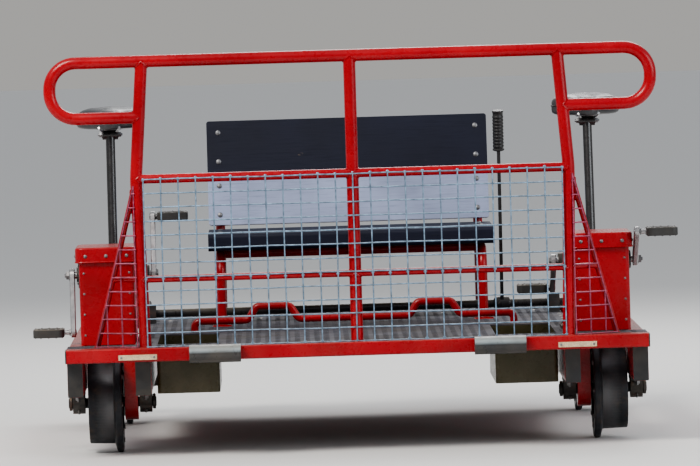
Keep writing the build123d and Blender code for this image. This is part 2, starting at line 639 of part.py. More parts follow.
def above_deck(shape):
    """The shape with its foot cut level on the deck."""
    x = (-2 * HALF_WIDTH, 2 * HALF_WIDTH)
    return shape & block(x, (-FRAME_LENGTH, FRAME_LENGTH), (DECK_TOP, 2 * TOP_RAIL_Z))


def post(extra=0.0, wall=TUBE_WALL):
    """The left guard post, bent where the mid rail meets it."""
    points = (post_point(-POST_R), post_point(MID_RAIL_ABOVE_DECK), post_point(TOP_RAIL_ABOVE_DECK))
    return above_deck(pipe(points, POST_R + extra, wall=wall, bend=POST_BEND_R))


def centre_post(extra=0.0, wall=TUBE_WALL):
    """The straight post in the middle of the guard."""
    return pipe(((0, POST_Y, DECK_TOP), (0, POST_Y, TOP_RAIL_Z)), POST_R + extra, wall=wall)


def top_rail(extra=0.0, wall=TUBE_WALL):
    """One bent tube: a D-shaped handle at each end and the bar between them."""
    low = TOP_RAIL_Z - HANDLE_HEIGHT
    start = post_point(TOP_RAIL_ABOVE_DECK - HANDLE_HEIGHT)[0]
    half = [(start, low), (HANDLE_X, low), (HANDLE_X, TOP_RAIL_Z)]
    points = [(x, POST_Y, z) for x, z in half] + [(-x, POST_Y, z) for x, z in reversed(half)]
    return pipe(points, POST_R + extra, bend=HANDLE_BEND_R, wall=wall)


def largest(shape):
    """The main solid of a trimmed tube, without the scraps beyond the joint."""
    return max(shape.solids(), key=lambda solid: solid.volume)


def posts():
    """Two outer posts and the centre post, coped to the top rail's underside."""
    bar = rod((-HANDLE_X, POST_Y, TOP_RAIL_Z), (HANDLE_X, POST_Y, TOP_RAIL_Z), POST_R + SEAT_GAP)
    outer = largest(post() - bar)
    return Compound(children=[outer, mirror(outer, about=Plane.YZ).solid(), largest(centre_post() - bar)])


def trimmed_top_rail():
    """The top rail with its handles' inner ends coped to the outer posts."""
    below = block((0, HANDLE_X), (FRONT - END_BEAM_DEPTH, BEAM_FRONT + END_BEAM_DEPTH),
                  (DECK_TOP, TOP_RAIL_Z - HANDLE_HEIGHT / 2))
    cutter = post(SEAT_GAP, 0) & below
    return largest(top_rail() - cutter - mirror(cutter, about=Plane.YZ))


def rail_y(radius):
    """Rails thinner than the posts lie flush with the posts' front, where the mesh is welded."""
    return POST_Y - (POST_R - radius)


def cross_rail(height, radius):
    """Left half of a rail between the outer post and the centre post."""
    y = rail_y(radius)
    bar = pipe(((0, y, DECK_TOP + height), (post_point(height)[0], y, DECK_TOP + height)), radius)
    return largest(bar - post(SEAT_GAP, 0) - centre_post(SEAT_GAP, 0))


def wing_edge(share):
    """A point on the wing's sloping edge, at a share of the way from the deck to the mid rail."""
    y = rail_y(WING_TUBE_R)
    reach = WING_FOOT_X - POST_X_MID
    foot = Vector(WING_FOOT_X, y + reach * math.tan(math.radians(WING_FOLD)), DECK_TOP)
    return foot + (Vector(POST_X_MID, y, MID_RAIL_Z) - foot) * share


def wing_tube(extra=0.0, wall=TUBE_WALL):
    """The wing's sloping outer edge, from the deck up to the outer post at the mid rail."""
    below = -2 * WING_TUBE_R / MID_RAIL_ABOVE_DECK
    return above_deck(pipe((tuple(wing_edge(below)), tuple(wing_edge(1))), WING_TUBE_R + extra, wall=wall))


def wing_tube_trimmed():
    """The wing's edge tube, coped to the outer post."""
    return largest(wing_tube() - post(SEAT_GAP, 0))


def wing_rail():
    """The lower rail's outer end, from the outer post to the wing's edge tube."""
    edge = wing_edge(LOWER_RAIL_ABOVE_DECK / MID_RAIL_ABOVE_DECK)
    x, y, z = post_point(LOWER_RAIL_ABOVE_DECK)
    bar = pipe(((x, rail_y(WING_TUBE_R), z), tuple(edge)), WING_TUBE_R)
    return largest(bar - post(SEAT_GAP, 0) - wing_tube(SEAT_GAP, 0))


def lower_rail():
    """The lower rail's four lengths: one each side of the centre post, and one in each wing."""
    solids = both_sides(cross_rail(LOWER_RAIL_ABOVE_DECK, LOWER_RAIL_R)).solids()
    return Compound(children=list(solids) + list(both_sides(wing_rail()).solids()))


def mesh_front():
    """Welded mesh between the outer posts, from the deck to the mid rail."""
    columns = int(2 * (POST_X_DECK + MESH_WIRE) / MESH_PITCH_X)
    rows = int(MID_RAIL_ABOVE_DECK / MESH_PITCH_Z)
    width = columns * MESH_PITCH_X + MESH_WIRE
    height = rows * MESH_PITCH_Z + MESH_WIRE
    cells = GridLocations(MESH_PITCH_X, MESH_PITCH_Z, columns, rows)
    holes = cells * Rectangle(MESH_PITCH_X - MESH_WIRE, MESH_PITCH_Z - MESH_WIRE)
    grid = Rectangle(width, height) - holes
    front_y = POST_Y - POST_R - SEAT_GAP
    plane = Plane(origin=(0, front_y, DECK_TOP + height / 2), z_dir=(0, -1, 0), x_dir=(1, 0, 0))
    return extrude(plane * grid, MESH_WIRE)


def mesh_wing():
    """The left wing's three-cornered mesh, folded back from the outer post."""
    fold = math.radians(WING_FOLD)
    reach = (WING_FOOT_X - POST_X_MID) / math.cos(fold)
    start = MESH_WIRE
    height = MID_RAIL_ABOVE_DECK
    outline = make_face(Polyline((start, 0), (reach, 0), (start, height * (1 - start / reach)), close=True))
    inside = offset(outline, -MESH_WIRE)
    cell = Rectangle(MESH_PITCH_X - MESH_WIRE, MESH_PITCH_Z - MESH_WIRE)
    columns = math.ceil(reach / MESH_PITCH_X)
    rows = math.ceil(height / MESH_PITCH_Z)
    first = Pos(start + columns * MESH_PITCH_X / 2 + MESH_WIRE / 2, rows * MESH_PITCH_Z / 2 + MESH_WIRE / 2)
    cells = first * (Sketch() + GridLocations(MESH_PITCH_X, MESH_PITCH_Z, columns, rows) * cell)
    grid = outline - (cells & inside)
    normal = Vector(math.sin(fold), -math.cos(fold), 0)
    origin = Vector(POST_X_MID, rail_y(WING_TUBE_R), DECK_TOP) + normal * (WING_TUBE_R + SEAT_GAP)
    plane = Plane(origin=origin, x_dir=(math.cos(fold), math.sin(fold), 0), z_dir=normal)
    return largest(extrude(plane * grid, MESH_WIRE) - post(SEAT_GAP, 0))


def buffer():
    """Length of hollow rubber section with a round nose, on the front beam's left half."""
    z = DECK_TOP - END_BEAM_HEIGHT / 2
    nose = BUFFER_HEIGHT / 2
    body = Pos(FRONT - (BUFFER_DEPTH - nose) / 2, z) * Rectangle(BUFFER_DEPTH - nose, BUFFER_HEIGHT)
    body += Pos(FRONT - BUFFER_DEPTH + nose, z) * Circle(nose)
    body -= Pos(FRONT - BUFFER_DEPTH + nose, z) * Circle(BUFFER_HOLE_R)
    return along_x(body, BUFFER_X - BUFFER_LENGTH / 2, BUFFER_X + BUFFER_LENGTH / 2)


def buffers():
    """Two buffers on each end beam."""
    front = both_sides(buffer())
    return Compound(children=list(front.solids()) + list(mirror(front, about=Plane.XZ).solids()))


def reflector():
    """Flat reflector strip on the front beam's left end."""
    x = (REFLECTOR_X - REFLECTOR_LENGTH / 2, REFLECTOR_X + REFLECTOR_LENGTH / 2)
    top = DECK_TOP - REFLECTOR_BELOW_DECK + REFLECTOR_HEIGHT / 2
    return block(x, (FRONT - REFLECTOR_THICKNESS, FRONT), (top - REFLECTOR_HEIGHT, top))


def bench_seat():
    """Thick seat board with a rounded front edge."""
    z = (SEAT_BOTTOM, SEAT_TOP)
    board = block((-BENCH_WIDTH / 2, BENCH_WIDTH / 2), (BENCH_Y, BENCH_Y + SEAT_DEPTH), z)
    return fillet(board.edges().filter_by(Axis.X).group_by(Axis.Y)[0], SEAT_EDGE_R)


def back_point(distance):
    """A point on the back posts' sloping part, measured up from the seat's underside."""
    turn = math.radians(BACK_LEAN)
    return BACK_POST_Y + distance * math.sin(turn), SEAT_BOTTOM + distance * math.cos(turn)


def back_board(start, height):
    """A board on the front of the back posts, in their slope."""
    y, z = back_point(start)
    turn = math.radians(BACK_LEAN)
    plane = Plane(origin=(0, y, z), x_dir=(1, 0, 0), z_dir=(0, -math.cos(turn), math.sin(turn)))
    face = Pos(0, height / 2) * RectangleRounded(BENCH_WIDTH, height, BOARD_CORNER_R)
    lifted = plane.offset(BENCH_TUBE_R + SEAT_GAP)
    return extrude(lifted * face, BACK_BOARD_THICKNESS)


def foot_plate(x, y):
    """Plate on the deck under the foot of a bent tube."""
    half = FOOT_PLATE_SIZE / 2
    z = (DECK_TOP, DECK_TOP + FOOT_PLATE_THICKNESS)
    return upright_box((x - half, x + half), (y - half, y + half), z, FOOT_PLATE_CORNER_R)


def bench_frame():
    """A bent leg and a sloping back post on each side, on foot plates, and two cross tubes."""
    rail_z = SEAT_BOTTOM - BENCH_TUBE_R - SEAT_GAP
    leg_y = BENCH_Y + BENCH_LEG_SET_BACK
    top_y, top_z = back_point(BACK_UPPER_START + BACK_UPPER_HEIGHT)
    x = BENCH_LEG_X
    foot_z = DECK_TOP + FOOT_PLATE_THICKNESS
    post_path = ((x, BACK_POST_Y, foot_z), (x, BACK_POST_Y, SEAT_BOTTOM), (x, top_y, top_z))
    back_post = pipe(post_path, BENCH_TUBE_R, bend=BENCH_BEND_R) + foot_plate(x, BACK_POST_Y)
    leg_path = ((x, leg_y, foot_z), (x, leg_y, rail_z), (x, BACK_POST_Y, rail_z))
    leg = pipe(leg_path, BENCH_TUBE_R, bend=BENCH_BEND_R)
    leg -= pipe(post_path, BENCH_TUBE_R + SEAT_GAP, bend=BENCH_BEND_R, wall=0)
    leg = largest(leg) + foot_plate(x, leg_y)
    solids = list(both_sides(leg).solids()) + list(both_sides(back_post).solids())
    inside = x - BENCH_TUBE_R - SEAT_GAP
    for y in (leg_y + BENCH_CROSS_SET_BACK, BACK_POST_Y):
        solids.append(pipe(((-inside, y, rail_z), (inside, y, rail_z)), BENCH_TUBE_R).solid())
    return Compound(children=solids)


def foot_rest():
    """A bent bar across the deck with a raised hump for each passenger's feet."""
    low = DECK_TOP + FOOT_REST_ABOVE_DECK
    high = low + FOOT_HUMP_RISE
    inner = FOOT_HUMP_X - FOOT_HUMP_HALF
    outer = FOOT_HUMP_X + FOOT_HUMP_HALF
    half = [(FOOT_REST_HALF, DECK_TOP), (FOOT_REST_HALF, low), (outer + FOOT_HUMP_SLOPE, low),
            (outer, high), (inner, high), (inner - FOOT_HUMP_SLOPE, low)]
    y = FRONT + FOOT_REST_FROM_FRONT
    points = [(-a, y, z) for a, z in half] + [(a, y, z) for a, z in reversed(half)]
    return pipe(points, FOOT_REST_R, bend=FOOT_BEND_R)


def shoe_sketch():
    """A curved shoe as (y, z), at its clearance from the tread when the lever is pulled right back."""
    near = TREAD_R + SHOE_CLEARANCE
    far = near + SHOE_THICKNESS
    turns = [math.radians(SHOE_PLACE_ANGLE + way * SHOE_SPAN_ANGLE / 2) for way in (-1, 1)]
    wedge = [(0, 0)] + [(-2 * far * math.sin(turn), 2 * far * math.cos(turn)) for turn in turns]
    sector = (Circle(far) - Circle(near)) & make_face(Polyline(*wedge, close=True))
    return Pos(REAR_AXLE_Y, AXLE_Z) * sector


def brake_arm():
    """Arm and shoe over the left rear wheel, lifted off by the brake's travel."""
    turn = math.radians(SHOE_PLACE_ANGLE)
    reach = TREAD_R + SHOE_CLEARANCE + SHOE_THICKNESS / 2
    end = (REAR_AXLE_Y - reach * math.sin(turn), AXLE_Z + reach * math.cos(turn))
    hub = Pos(BRAKE_Y, BRAKE_Z) * Circle(BRAKE_HUB_R)
    tip = Pos(*end) * Circle(BRAKE_ARM_TIP_R)
    middle = (WHEEL_MID_X, WHEEL_MID_X)
    arm = along_x(make_hull((hub + tip).edges()), *grown(middle, BRAKE_ARM_WIDTH / 2))
    arm += along_x(shoe_sketch(), *grown(middle, SHOE_WIDTH / 2))
    return arm.rotate(Axis((0, BRAKE_Y, BRAKE_Z), (1, 0, 0)), BRAKE_TRAVEL_ANGLE)


def brake():
    """Cross shaft, hand lever with its grip, and the two arms with their shoes."""
    half = WHEEL_MID_X + BRAKE_ARM_WIDTH / 2
    shaft = rod((-half, BRAKE_Y, BRAKE_Z), (half, BRAKE_Y, BRAKE_Z), BRAKE_SHAFT_R)
    arm = brake_arm()
    turn = math.radians(LEVER_LEAN)
    way = Vector(0, -math.sin(turn), math.cos(turn))
    foot = Vector(LEVER_X, BRAKE_Y, BRAKE_Z)
    top = foot + way * LEVER_LENGTH
    grip_from = foot + way * (LEVER_LENGTH - GRIP_LENGTH)
    blade = Pos(foot.Y, foot.Z) * Circle(LEVER_FOOT_WIDTH / 2)
    blade += Pos(grip_from.Y, grip_from.Z) * Circle(LEVER_TOP_WIDTH / 2)
    middle = (LEVER_X, LEVER_X)
    bar = along_x(make_hull(blade.edges()), *grown(middle, LEVER_THICKNESS / 2))
    hub = along_x(Pos(BRAKE_Y, BRAKE_Z) * Circle(BRAKE_HUB_R), *grown(middle, BRAKE_HUB_R))
    grip = rod(tuple(grip_from), tuple(top), GRIP_R)
    return shaft + arm + mirror(arm, about=Plane.YZ) + bar + hub + grip


def brake_bearing():
    """Block on the inner beam that carries the brake shaft."""
    y = (BRAKE_Y - BRAKE_BLOCK_LENGTH / 2, BRAKE_Y + BRAKE_BLOCK_LENGTH / 2)
    z = (DECK_TOP, BRAKE_Z + BRAKE_SHAFT_R + BRAKE_BLOCK_OVER)
    solid = block((INNER_BEAM_MID - BEARING_WIDTH / 2, INNER_BEAM_MID + BEARING_WIDTH / 2), y, z)
    bore = Pos(BRAKE_Y, BRAKE_Z) * Circle(BRAKE_SHAFT_R + RUN)
    return solid - along_x(bore, INNER_BEAM_INSIDE, INNER_BEAM_X)


def all_nodes():
    """Every node's name and solid."""
    nodes = {
        "front_beam": end_beam(FRONT, BEAM_FRONT),
        "rear_beam": end_beam(BEAM_REAR, REAR),
        "cross_bearers": cross_bearers(),
        "deck_plate": deck_plate(),
        "axle_bearings": axle_bearings(),
        "top_rail": trimmed_top_rail(),
        "guard_posts": posts(),
        "mid_rail": both_sides(cross_rail(MID_RAIL_ABOVE_DECK, MID_RAIL_R)),
        "lower_rail": lower_rail(),
        "wing_tubes": both_sides(wing_tube_trimmed()),
        "mesh_front": mesh_front(),
        "mesh_wings": both_sides(mesh_wing()),
        "buffers": buffers(),
        "reflectors": both_sides(reflector()),
        "bench_frame": bench_frame(),
        "bench_seat": bench_seat(),
        "bench_back_lower": back_board(BACK_LOWER_START, BACK_LOWER_HEIGHT),
        "bench_back_upper": back_board(BACK_UPPER_START, BACK_UPPER_HEIGHT),
        "foot_rest": foot_rest(),
        "brake_bearings": both_sides(brake_bearing()),
        "brake_lever": brake(),
    }
    arm_angles = {"left": LEFT_OUTER_ARM_ANGLE, "right": RIGHT_OUTER_ARM_ANGLE}
    for side_name, side in SIDES:
        angle = arm_angles[side_name]
        # Columns: name of the sort of piece, its shape on the left
        rows = (
            ("side_beam", long_beam(SIDE_BEAM_X)),
            ("inner_beam", long_beam(INNER_BEAM_INSIDE)),
            ("pedal_tray", pedal_tray()),
            ("wheel_front", wheel(FRONT_AXLE_Y)),
            ("wheel_rear", wheel(REAR_AXLE_Y)),
            ("chain_case", chain_case()),
            ("crank_bearings", crank_bearings()),
            ("crank_set", crank_set(angle)),
            ("pedal_outer", pedal(OUTER_PEDAL_X, angle, -1)),
            ("pedal_inner", pedal(INNER_PEDAL_X - PEDAL_WIDTH, angle + 180, 1)),
            ("saddle_frame", saddle_frame()),
            ("saddle", saddle()),
        )
        for kind, shape in rows:
            nodes[f"{kind}_{side_name}"] = on_side(shape, side)
    return nodes


os.makedirs("parts", exist_ok=True)
for name, shape in all_nodes().items():
    export_step(shape, f"parts/{name}.step")
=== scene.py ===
"""Pedal rail bike: the finish, the welded mesh, the padded saddles and the small fittings."""
import json
import math
import random

import bmesh
import bpy
from mathutils import Matrix, Vector


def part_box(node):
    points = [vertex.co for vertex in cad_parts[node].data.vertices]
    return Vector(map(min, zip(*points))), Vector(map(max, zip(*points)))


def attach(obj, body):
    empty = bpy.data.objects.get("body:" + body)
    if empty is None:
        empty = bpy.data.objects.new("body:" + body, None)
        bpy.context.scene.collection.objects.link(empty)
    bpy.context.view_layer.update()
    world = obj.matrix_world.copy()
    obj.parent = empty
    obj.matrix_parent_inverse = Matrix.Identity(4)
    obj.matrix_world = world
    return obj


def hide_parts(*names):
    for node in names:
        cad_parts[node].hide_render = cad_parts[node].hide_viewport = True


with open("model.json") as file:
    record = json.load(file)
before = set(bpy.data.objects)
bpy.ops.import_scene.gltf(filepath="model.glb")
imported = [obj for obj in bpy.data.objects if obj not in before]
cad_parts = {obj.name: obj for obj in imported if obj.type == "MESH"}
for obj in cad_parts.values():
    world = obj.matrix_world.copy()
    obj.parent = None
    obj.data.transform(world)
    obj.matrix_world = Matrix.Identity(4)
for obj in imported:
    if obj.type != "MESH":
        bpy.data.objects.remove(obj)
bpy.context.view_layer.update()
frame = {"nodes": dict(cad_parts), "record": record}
random.seed(7)

# Metres throughout. The front faces -Y, the riders' left is +X, the floor is at z = 0.
SIDES = (("left", 1), ("right", -1))
BOTH = (1, -1)
CORNERS = ((1, 1), (-1, 1), (-1, -1), (1, -1))
UP = Vector((0, 0, 1))


def joint_place(name):
    """Where a joint's axis is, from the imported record."""
    return Vector(next(j["pos_m"] for j in frame["record"]["behaviour"]["joints"] if j["name"] == name))


# Places on the solids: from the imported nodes' boxes where they give them, and the tubes' own sizes
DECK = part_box("deck_plate")[1].z
FRONT_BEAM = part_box("front_beam")
REAR_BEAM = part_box("rear_beam")
SIDE_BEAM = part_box("side_beam_left")
INNER_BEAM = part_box("inner_beam_left")
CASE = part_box("chain_case_left")
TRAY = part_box("pedal_tray_left")
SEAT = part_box("bench_seat")
BRAKE_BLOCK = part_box("brake_bearings")
AXLE_FRONT = joint_place("wheel_front_left_turn")
AXLE_REAR = joint_place("wheel_rear_left_turn")
CRANK = joint_place("crank_left_turn")
BRAKE = joint_place("brake_pull")
POST_Y = (FRONT_BEAM[0].y + FRONT_BEAM[1].y) / 2
POST_R, MID_RAIL_R, LOWER_RAIL_R, WING_TUBE_R = 0.0175, 0.013, 0.010, 0.008
TOP_RAIL_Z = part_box("top_rail")[1].z - POST_R
HANDLE_Z = TOP_RAIL_Z - 0.160
MID_RAIL_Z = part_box("mid_rail")[1].z - MID_RAIL_R
LOWER_RAIL_Z = DECK + 0.196
LOWER_RAIL_END_X = 0.6123
POST_FOOT = Vector((0.607, POST_Y, DECK))
POST_BEND = Vector((0.620, POST_Y, MID_RAIL_Z))
POST_TOP = Vector((0.595, POST_Y, TOP_RAIL_Z))
FLUSH_Y = POST_Y - POST_R
WING_FOLD = math.radians(30)
WING_TOP = Vector((POST_BEND.x, FLUSH_Y + WING_TUBE_R, MID_RAIL_Z))
WING_FOOT_X = 0.747
WING_FOOT = Vector((WING_FOOT_X, WING_TOP.y + (WING_FOOT_X - POST_BEND.x) * math.tan(WING_FOLD), DECK))
BENCH_TUBE_R = 0.014
BENCH_LEG_X = 0.395
BENCH_PLATE_TOP = DECK + 0.005
BENCH_LEG_Y = SEAT[0].y + 0.040
BACK_POST_Y = SEAT[1].y + 0.024 + BENCH_TUBE_R
BACK_LEAN = math.radians(10)
SEAT_RAIL_Z = SEAT[0].z - BENCH_TUBE_R
FOOT_REST_R = 0.011
FOOT_REST_X = 0.475
FOOT_REST_Y = (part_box("foot_rest")[0].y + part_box("foot_rest")[1].y) / 2
SADDLE_X = 0.707
SADDLE_LEAN = math.radians(10)
SADDLE_FOOT = Vector((SADDLE_X, CRANK.y + 0.175, SIDE_BEAM[1].z))
SADDLE_WAY = Vector((0, math.sin(SADDLE_LEAN), math.cos(SADDLE_LEAN)))
LEVER_LEAN = math.radians(9)
LEVER_WAY = Vector((0, -math.sin(LEVER_LEAN), math.cos(LEVER_LEAN)))
LEVER_X = 0.460
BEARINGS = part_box("crank_bearings_left")
ARM_OUTER_X = BEARINGS[1].x + 0.006
ARM_INNER_X = BEARINGS[0].x - 0.006
ARM_THICKNESS = 0.015
FLANGE_FACE_X = 0.685
HUB_SCREW_X = 0.757
BRAKE_ARM_FACE_X = 0.738
DECK_JOINT_Y = 0.515
BOARD_THICKNESS = 0.020
BOARD_MIDDLES = (0.136, 0.301)

# Distances along the saddle tube and its post, and along the brake lever
CLAMP_SEAT, CLAMP_EAR, CLAMP_TOP, SADDLE_HEAD = 0.254, 0.267, 0.281, 0.610
GRIP_START = 0.475

# Round heads: radius, height and, where it isn't the usual one, the number of sides
LID_SCREW = (0.0055, 0.0032)
CARRIAGE_BOLT = (0.0082, 0.0036)
PIN_END = (0.009, 0.0022)
DECK_SCREW = (0.0062, 0.0012, 12)
STRIP_SCREW = (0.0035, 0.0016, 12)
GRUB_SCREW = (0.003, 0.002, 10)
CASE_RIVET = (0.0035, 0.0018, 10)
TRAY_RIVET = (0.0045, 0.002, 10)
GRIP_STUD = (0.0026, 0.0022, 8)
WIRE_WELD = (0.0052, 0.0035, 9)

# Hexagons: width across flats and height
FOOT_BOLT = (0.017, 0.010)
HEAD_BOLT = (0.014, 0.008)
CLAMP_BOLT = (0.013, 0.007)
BENCH_NUT = (0.013, 0.006)
FLANGE_BOLT = (0.013, 0.0035)
HUB_SCREW = (0.010, 0.006)
BLOCK_BOLT = (0.010, 0.006)
PLATE_BOLT = (0.008, 0.005)
BEARING_BOLT = (0.008, 0.0035)


# Materials

class Shader:
    """A node material with short ways to make the usual nodes."""

    def __init__(self, name, roughness=0.5, metallic=0.0, coat=0.0, glint=0.5):
        self.material = bpy.data.materials.new(name)
        self.material.use_nodes = True
        self.tree = self.material.node_tree
        self.out = self.tree.nodes["Principled BSDF"]
        self.out.inputs["Roughness"].default_value = roughness
        self.out.inputs["Metallic"].default_value = metallic
        self.out.inputs["Coat Weight"].default_value = coat
        self.out.inputs["Coat Roughness"].default_value = 0.12
        self.out.inputs["Specular IOR Level"].default_value = glint
        self.place = self.tree.nodes.new("ShaderNodeTexCoord").outputs["Object"]

    def node(self, kind, links=(), **settings):
        made = self.tree.nodes.new(kind)
        for key, value in settings.items():
            setattr(made, key, value)
        for socket, source in links:
            if hasattr(source, "is_linked"):
                self.tree.links.new(source, made.inputs[socket])
            else:
                made.inputs[socket].default_value = source
        return made

    def noise(self, scale, detail=4.0, rough=0.55, stretch=(1, 1, 1)):
        """Noise from 0 to 1 in the object's own space."""
        place = self.place
        if stretch != (1, 1, 1):
            place = self.node("ShaderNodeMapping", (("Vector", self.place), ("Scale", stretch))).outputs[0]
        links = (("Vector", place), ("Scale", scale), ("Detail", detail), ("Roughness", rough))
        return self.node("ShaderNodeTexNoise", links).outputs["Fac"]

    def ramp(self, source, *stops):
        """A colour ramp through (position, grey or colour) stops."""
        made = self.node("ShaderNodeValToRGB", (("Fac", source),))
        elements = made.color_ramp.elements
        while len(elements) < len(stops):
            elements.new(0.5)
        for element, (position, value) in zip(elements, stops):
            colour = (value, value, value) if isinstance(value, (int, float)) else value
            element.position = position
            element.color = (*colour[:3], 1)
        return made.outputs["Color"]

    def blotches(self, scale, detail, dark, light):
        """Noise between two tones."""
        return self.ramp(self.noise(scale, detail), (0.3, dark), (0.7, light))

    def span(self, source, low, high, to_low=0.0, to_high=1.0):
        """Turns the range from low to high into another range, and cuts off what is outside it."""
        links = (("Value", source), ("From Min", low), ("From Max", high),
                 ("To Min", to_low), ("To Max", to_high))
        return self.node("ShaderNodeMapRange", links).outputs["Result"]

    def math(self, operation, first, second=0.0):
        return self.node("ShaderNodeMath", ((0, first), (1, second)), operation=operation).outputs[0]

    def mix(self, factor, first, second):
        """A blend of two colours."""
        links = [(0, factor)]
        for socket, colour in ((6, first), (7, second)):
            links.append((socket, colour if hasattr(colour, "is_linked") else (*colour, 1)))
        return self.node("ShaderNodeMix", links, data_type="RGBA").outputs[2]

    def axis(self, name):
        return self.node("ShaderNodeSeparateXYZ", ((0, self.place),)).outputs[name]

    def facing_up(self):
        normal = self.node("ShaderNodeNewGeometry").outputs["Normal"]
        return self.node("ShaderNodeSeparateXYZ", ((0, normal),)).outputs["Z"]

    def bump(self, height, strength, distance):
        links = (("Height", height), ("Strength", strength), ("Distance", distance))
        made = self.node("ShaderNodeBump", links)
        self.tree.links.new(made.outputs[0], self.out.inputs["Normal"])

    def set(self, socket, source):
        self.tree.links.new(source, self.out.inputs[socket])

    def roughen(self, scale, detail, low, high):
        """Roughness that changes with noise between two values."""
        self.set("Roughness", self.span(self.noise(scale, detail), 0.3, 0.7, low, high))


def dust_amount(shader, reach=0.35, settled=0.8):
    """How much dust lies on a face: more where it faces up and low down on the vehicle."""
    up = shader.span(shader.facing_up(), 0.25, 1.0)
    low = shader.span(shader.axis("Z"), 0.75, 0.12, 0.12, 1.0)
    patches = shader.span(shader.noise(9.0, 5.0, 0.65), 0.38, 0.72)
    lying = shader.math("MULTIPLY", shader.math("MULTIPLY", up, low), settled)
    thrown = shader.math("MULTIPLY", shader.math("MULTIPLY", patches, low), reach)
    return shader.math("MINIMUM", shader.math("ADD", lying, thrown), 0.9)


DUST = (0.19, 0.155, 0.11)


def scaled(colour, share):
    """A darker or lighter shade of a colour."""
    return tuple(c * share for c in colour)


def painted(name, colour, coat=0.5, chips=0.68, dusty=0.3, settled=0.8, primer=(0.09, 0.05, 0.04), glint=0.5):
    """Brushed gloss paint with slow colour change, small chips down to rusty primer, and dust."""
    s = Shader(name, coat=coat, glint=glint)
    paint = s.blotches(5.0, 3.0, scaled(colour, 0.76), tuple(c * 1.14 + 0.004 for c in colour))
    worn = s.span(s.noise(38.0, 8.0, 0.72), chips, chips + 0.02)
    dust = dust_amount(s, dusty, settled)
    s.set("Base Color", s.mix(dust, s.mix(worn, paint, primer), DUST))
    shine = s.span(s.noise(60.0, 3.0), 0.3, 0.7, 0.22, 0.38)
    chipped = s.math("MULTIPLY", worn, 0.8)
    dull = s.math("MAXIMUM", chipped, s.math("MULTIPLY", dust, 0.85))
    s.set("Roughness", s.math("MAXIMUM", shine, dull))
    s.bump(s.math("SUBTRACT", s.noise(140.0, 2.0), chipped), 0.25, 0.0006)
    return s.material


def galvanised(name, colour):
    """Zinc-dipped wire: dull, with lighter spangle."""
    s = Shader(name, metallic=0.75)
    spangle = s.noise(70.0, 2.0)
    tone = s.ramp(spangle, (0.3, scaled(colour, 0.6)), (0.7, scaled(colour, 1.35)))
    s.set("Base Color", s.mix(dust_amount(s, 0.15), tone, DUST))
    s.set("Roughness", s.span(spangle, 0.3, 0.7, 0.34, 0.55))
    s.bump(s.noise(400.0, 3.0), 0.2, 0.0004)
    return s.material


def iron(name, colour):
    """Dark cast iron or steel with oily patches and thin rust."""
    s = Shader(name, metallic=0.6)
    base = s.ramp(s.noise(18.0, 5.0), (0.3, scaled(colour, 0.6)), (0.75, scaled(colour, 1.5)))
    rusty = s.span(s.noise(26.0, 8.0, 0.7), 0.52, 0.66, 0.0, 0.35)
    dust = dust_amount(s, 0.3)
    s.set("Base Color", s.mix(dust, s.mix(rusty, base, (0.16, 0.06, 0.025)), DUST))
    s.set("Roughness", s.math("MAXIMUM", s.span(s.noise(40.0, 4.0), 0.3, 0.7, 0.42, 0.7), dust))
    s.bump(s.noise(220.0, 5.0), 0.45, 0.0008)
    return s.material


def wheel_iron(name, axle):
    """Dark iron wheel whose tread is worn smooth by the rail; its tones, the worn tread's too, are kept
    darker as painted shade.
    """
    s = Shader(name, metallic=0.55)
    y = s.math("SUBTRACT", s.axis("Y"), axle.y)
    z = s.math("SUBTRACT", s.axis("Z"), axle.z)
    radius = s.math("SQRT", s.math("ADD", s.math("MULTIPLY", y, y), s.math("MULTIPLY", z, z)))
    on_tread, off_flange = s.span(radius, 0.1185, 0.1195), s.span(radius, 0.131, 0.124)
    band = s.math("MULTIPLY", on_tread, off_flange)
    worn = s.math("MULTIPLY", band, s.span(s.noise(30.0, 3.0), 0.25, 0.5, 0.55, 1.0))
    # Painted shade: the iron's own dark tones are kept darker still, as the wheels sit in shade.
    dark = s.blotches(14.0, 5.0, (0.012, 0.014, 0.018), (0.035, 0.038, 0.045))
    dirt = s.span(s.noise(22.0, 7.0, 0.7), 0.5, 0.68, 0.0, 0.55)
    # The worn tread's grey is kept dull, darker than bright worn steel: painted shade.
    s.set("Base Color", s.mix(worn, s.mix(dirt, dark, (0.1, 0.065, 0.04)), (0.115, 0.115, 0.12)))
    s.set("Roughness", s.mix(worn, s.blotches(45.0, 4.0, 0.45, 0.75), (0.38, 0.38, 0.38)))
    s.set("Metallic", s.math("MAXIMUM", s.math("MULTIPLY", worn, 0.85), 0.35))
    s.bump(s.noise(200.0, 4.0), 0.4, 0.0007)
    return s.material


def deck_metal(name):
    """Grey tread plate, kept dark with a blue-purple cast as painted shade and painted dark reflection: dull,
    a little worn in places, with dry mud and grit lying on it.
    """
    s = Shader(name, glint=0.12)
    # Painted shade and painted dark reflection: the grey plate's tones are kept very dark, with a blue-purple
    # cast.
    tone = s.ramp(s.noise(13.0, 7.0, 0.62), (0.3, (0.045, 0.045, 0.056)), (0.7, (0.115, 0.114, 0.135)))
    wide = s.span(s.noise(3.2, 3.0, 0.5), 0.4, 0.7, 0.0, 0.4)
    grit = s.span(s.noise(21.0, 9.0, 0.74), 0.47, 0.64, 0.0, 0.35)
    mud = s.math("ADD", wide, grit)
    s.set("Base Color", s.mix(mud, tone, (0.092, 0.076, 0.056)))
    s.set("Roughness", s.span(mud, 0.0, 0.75, 0.58, 0.95))
    s.set("Metallic", s.span(mud, 0.0, 0.6, 0.22, 0.0))
    s.bump(s.noise(160.0, 6.0, 0.7), 0.4, 0.0007)
    return s.material


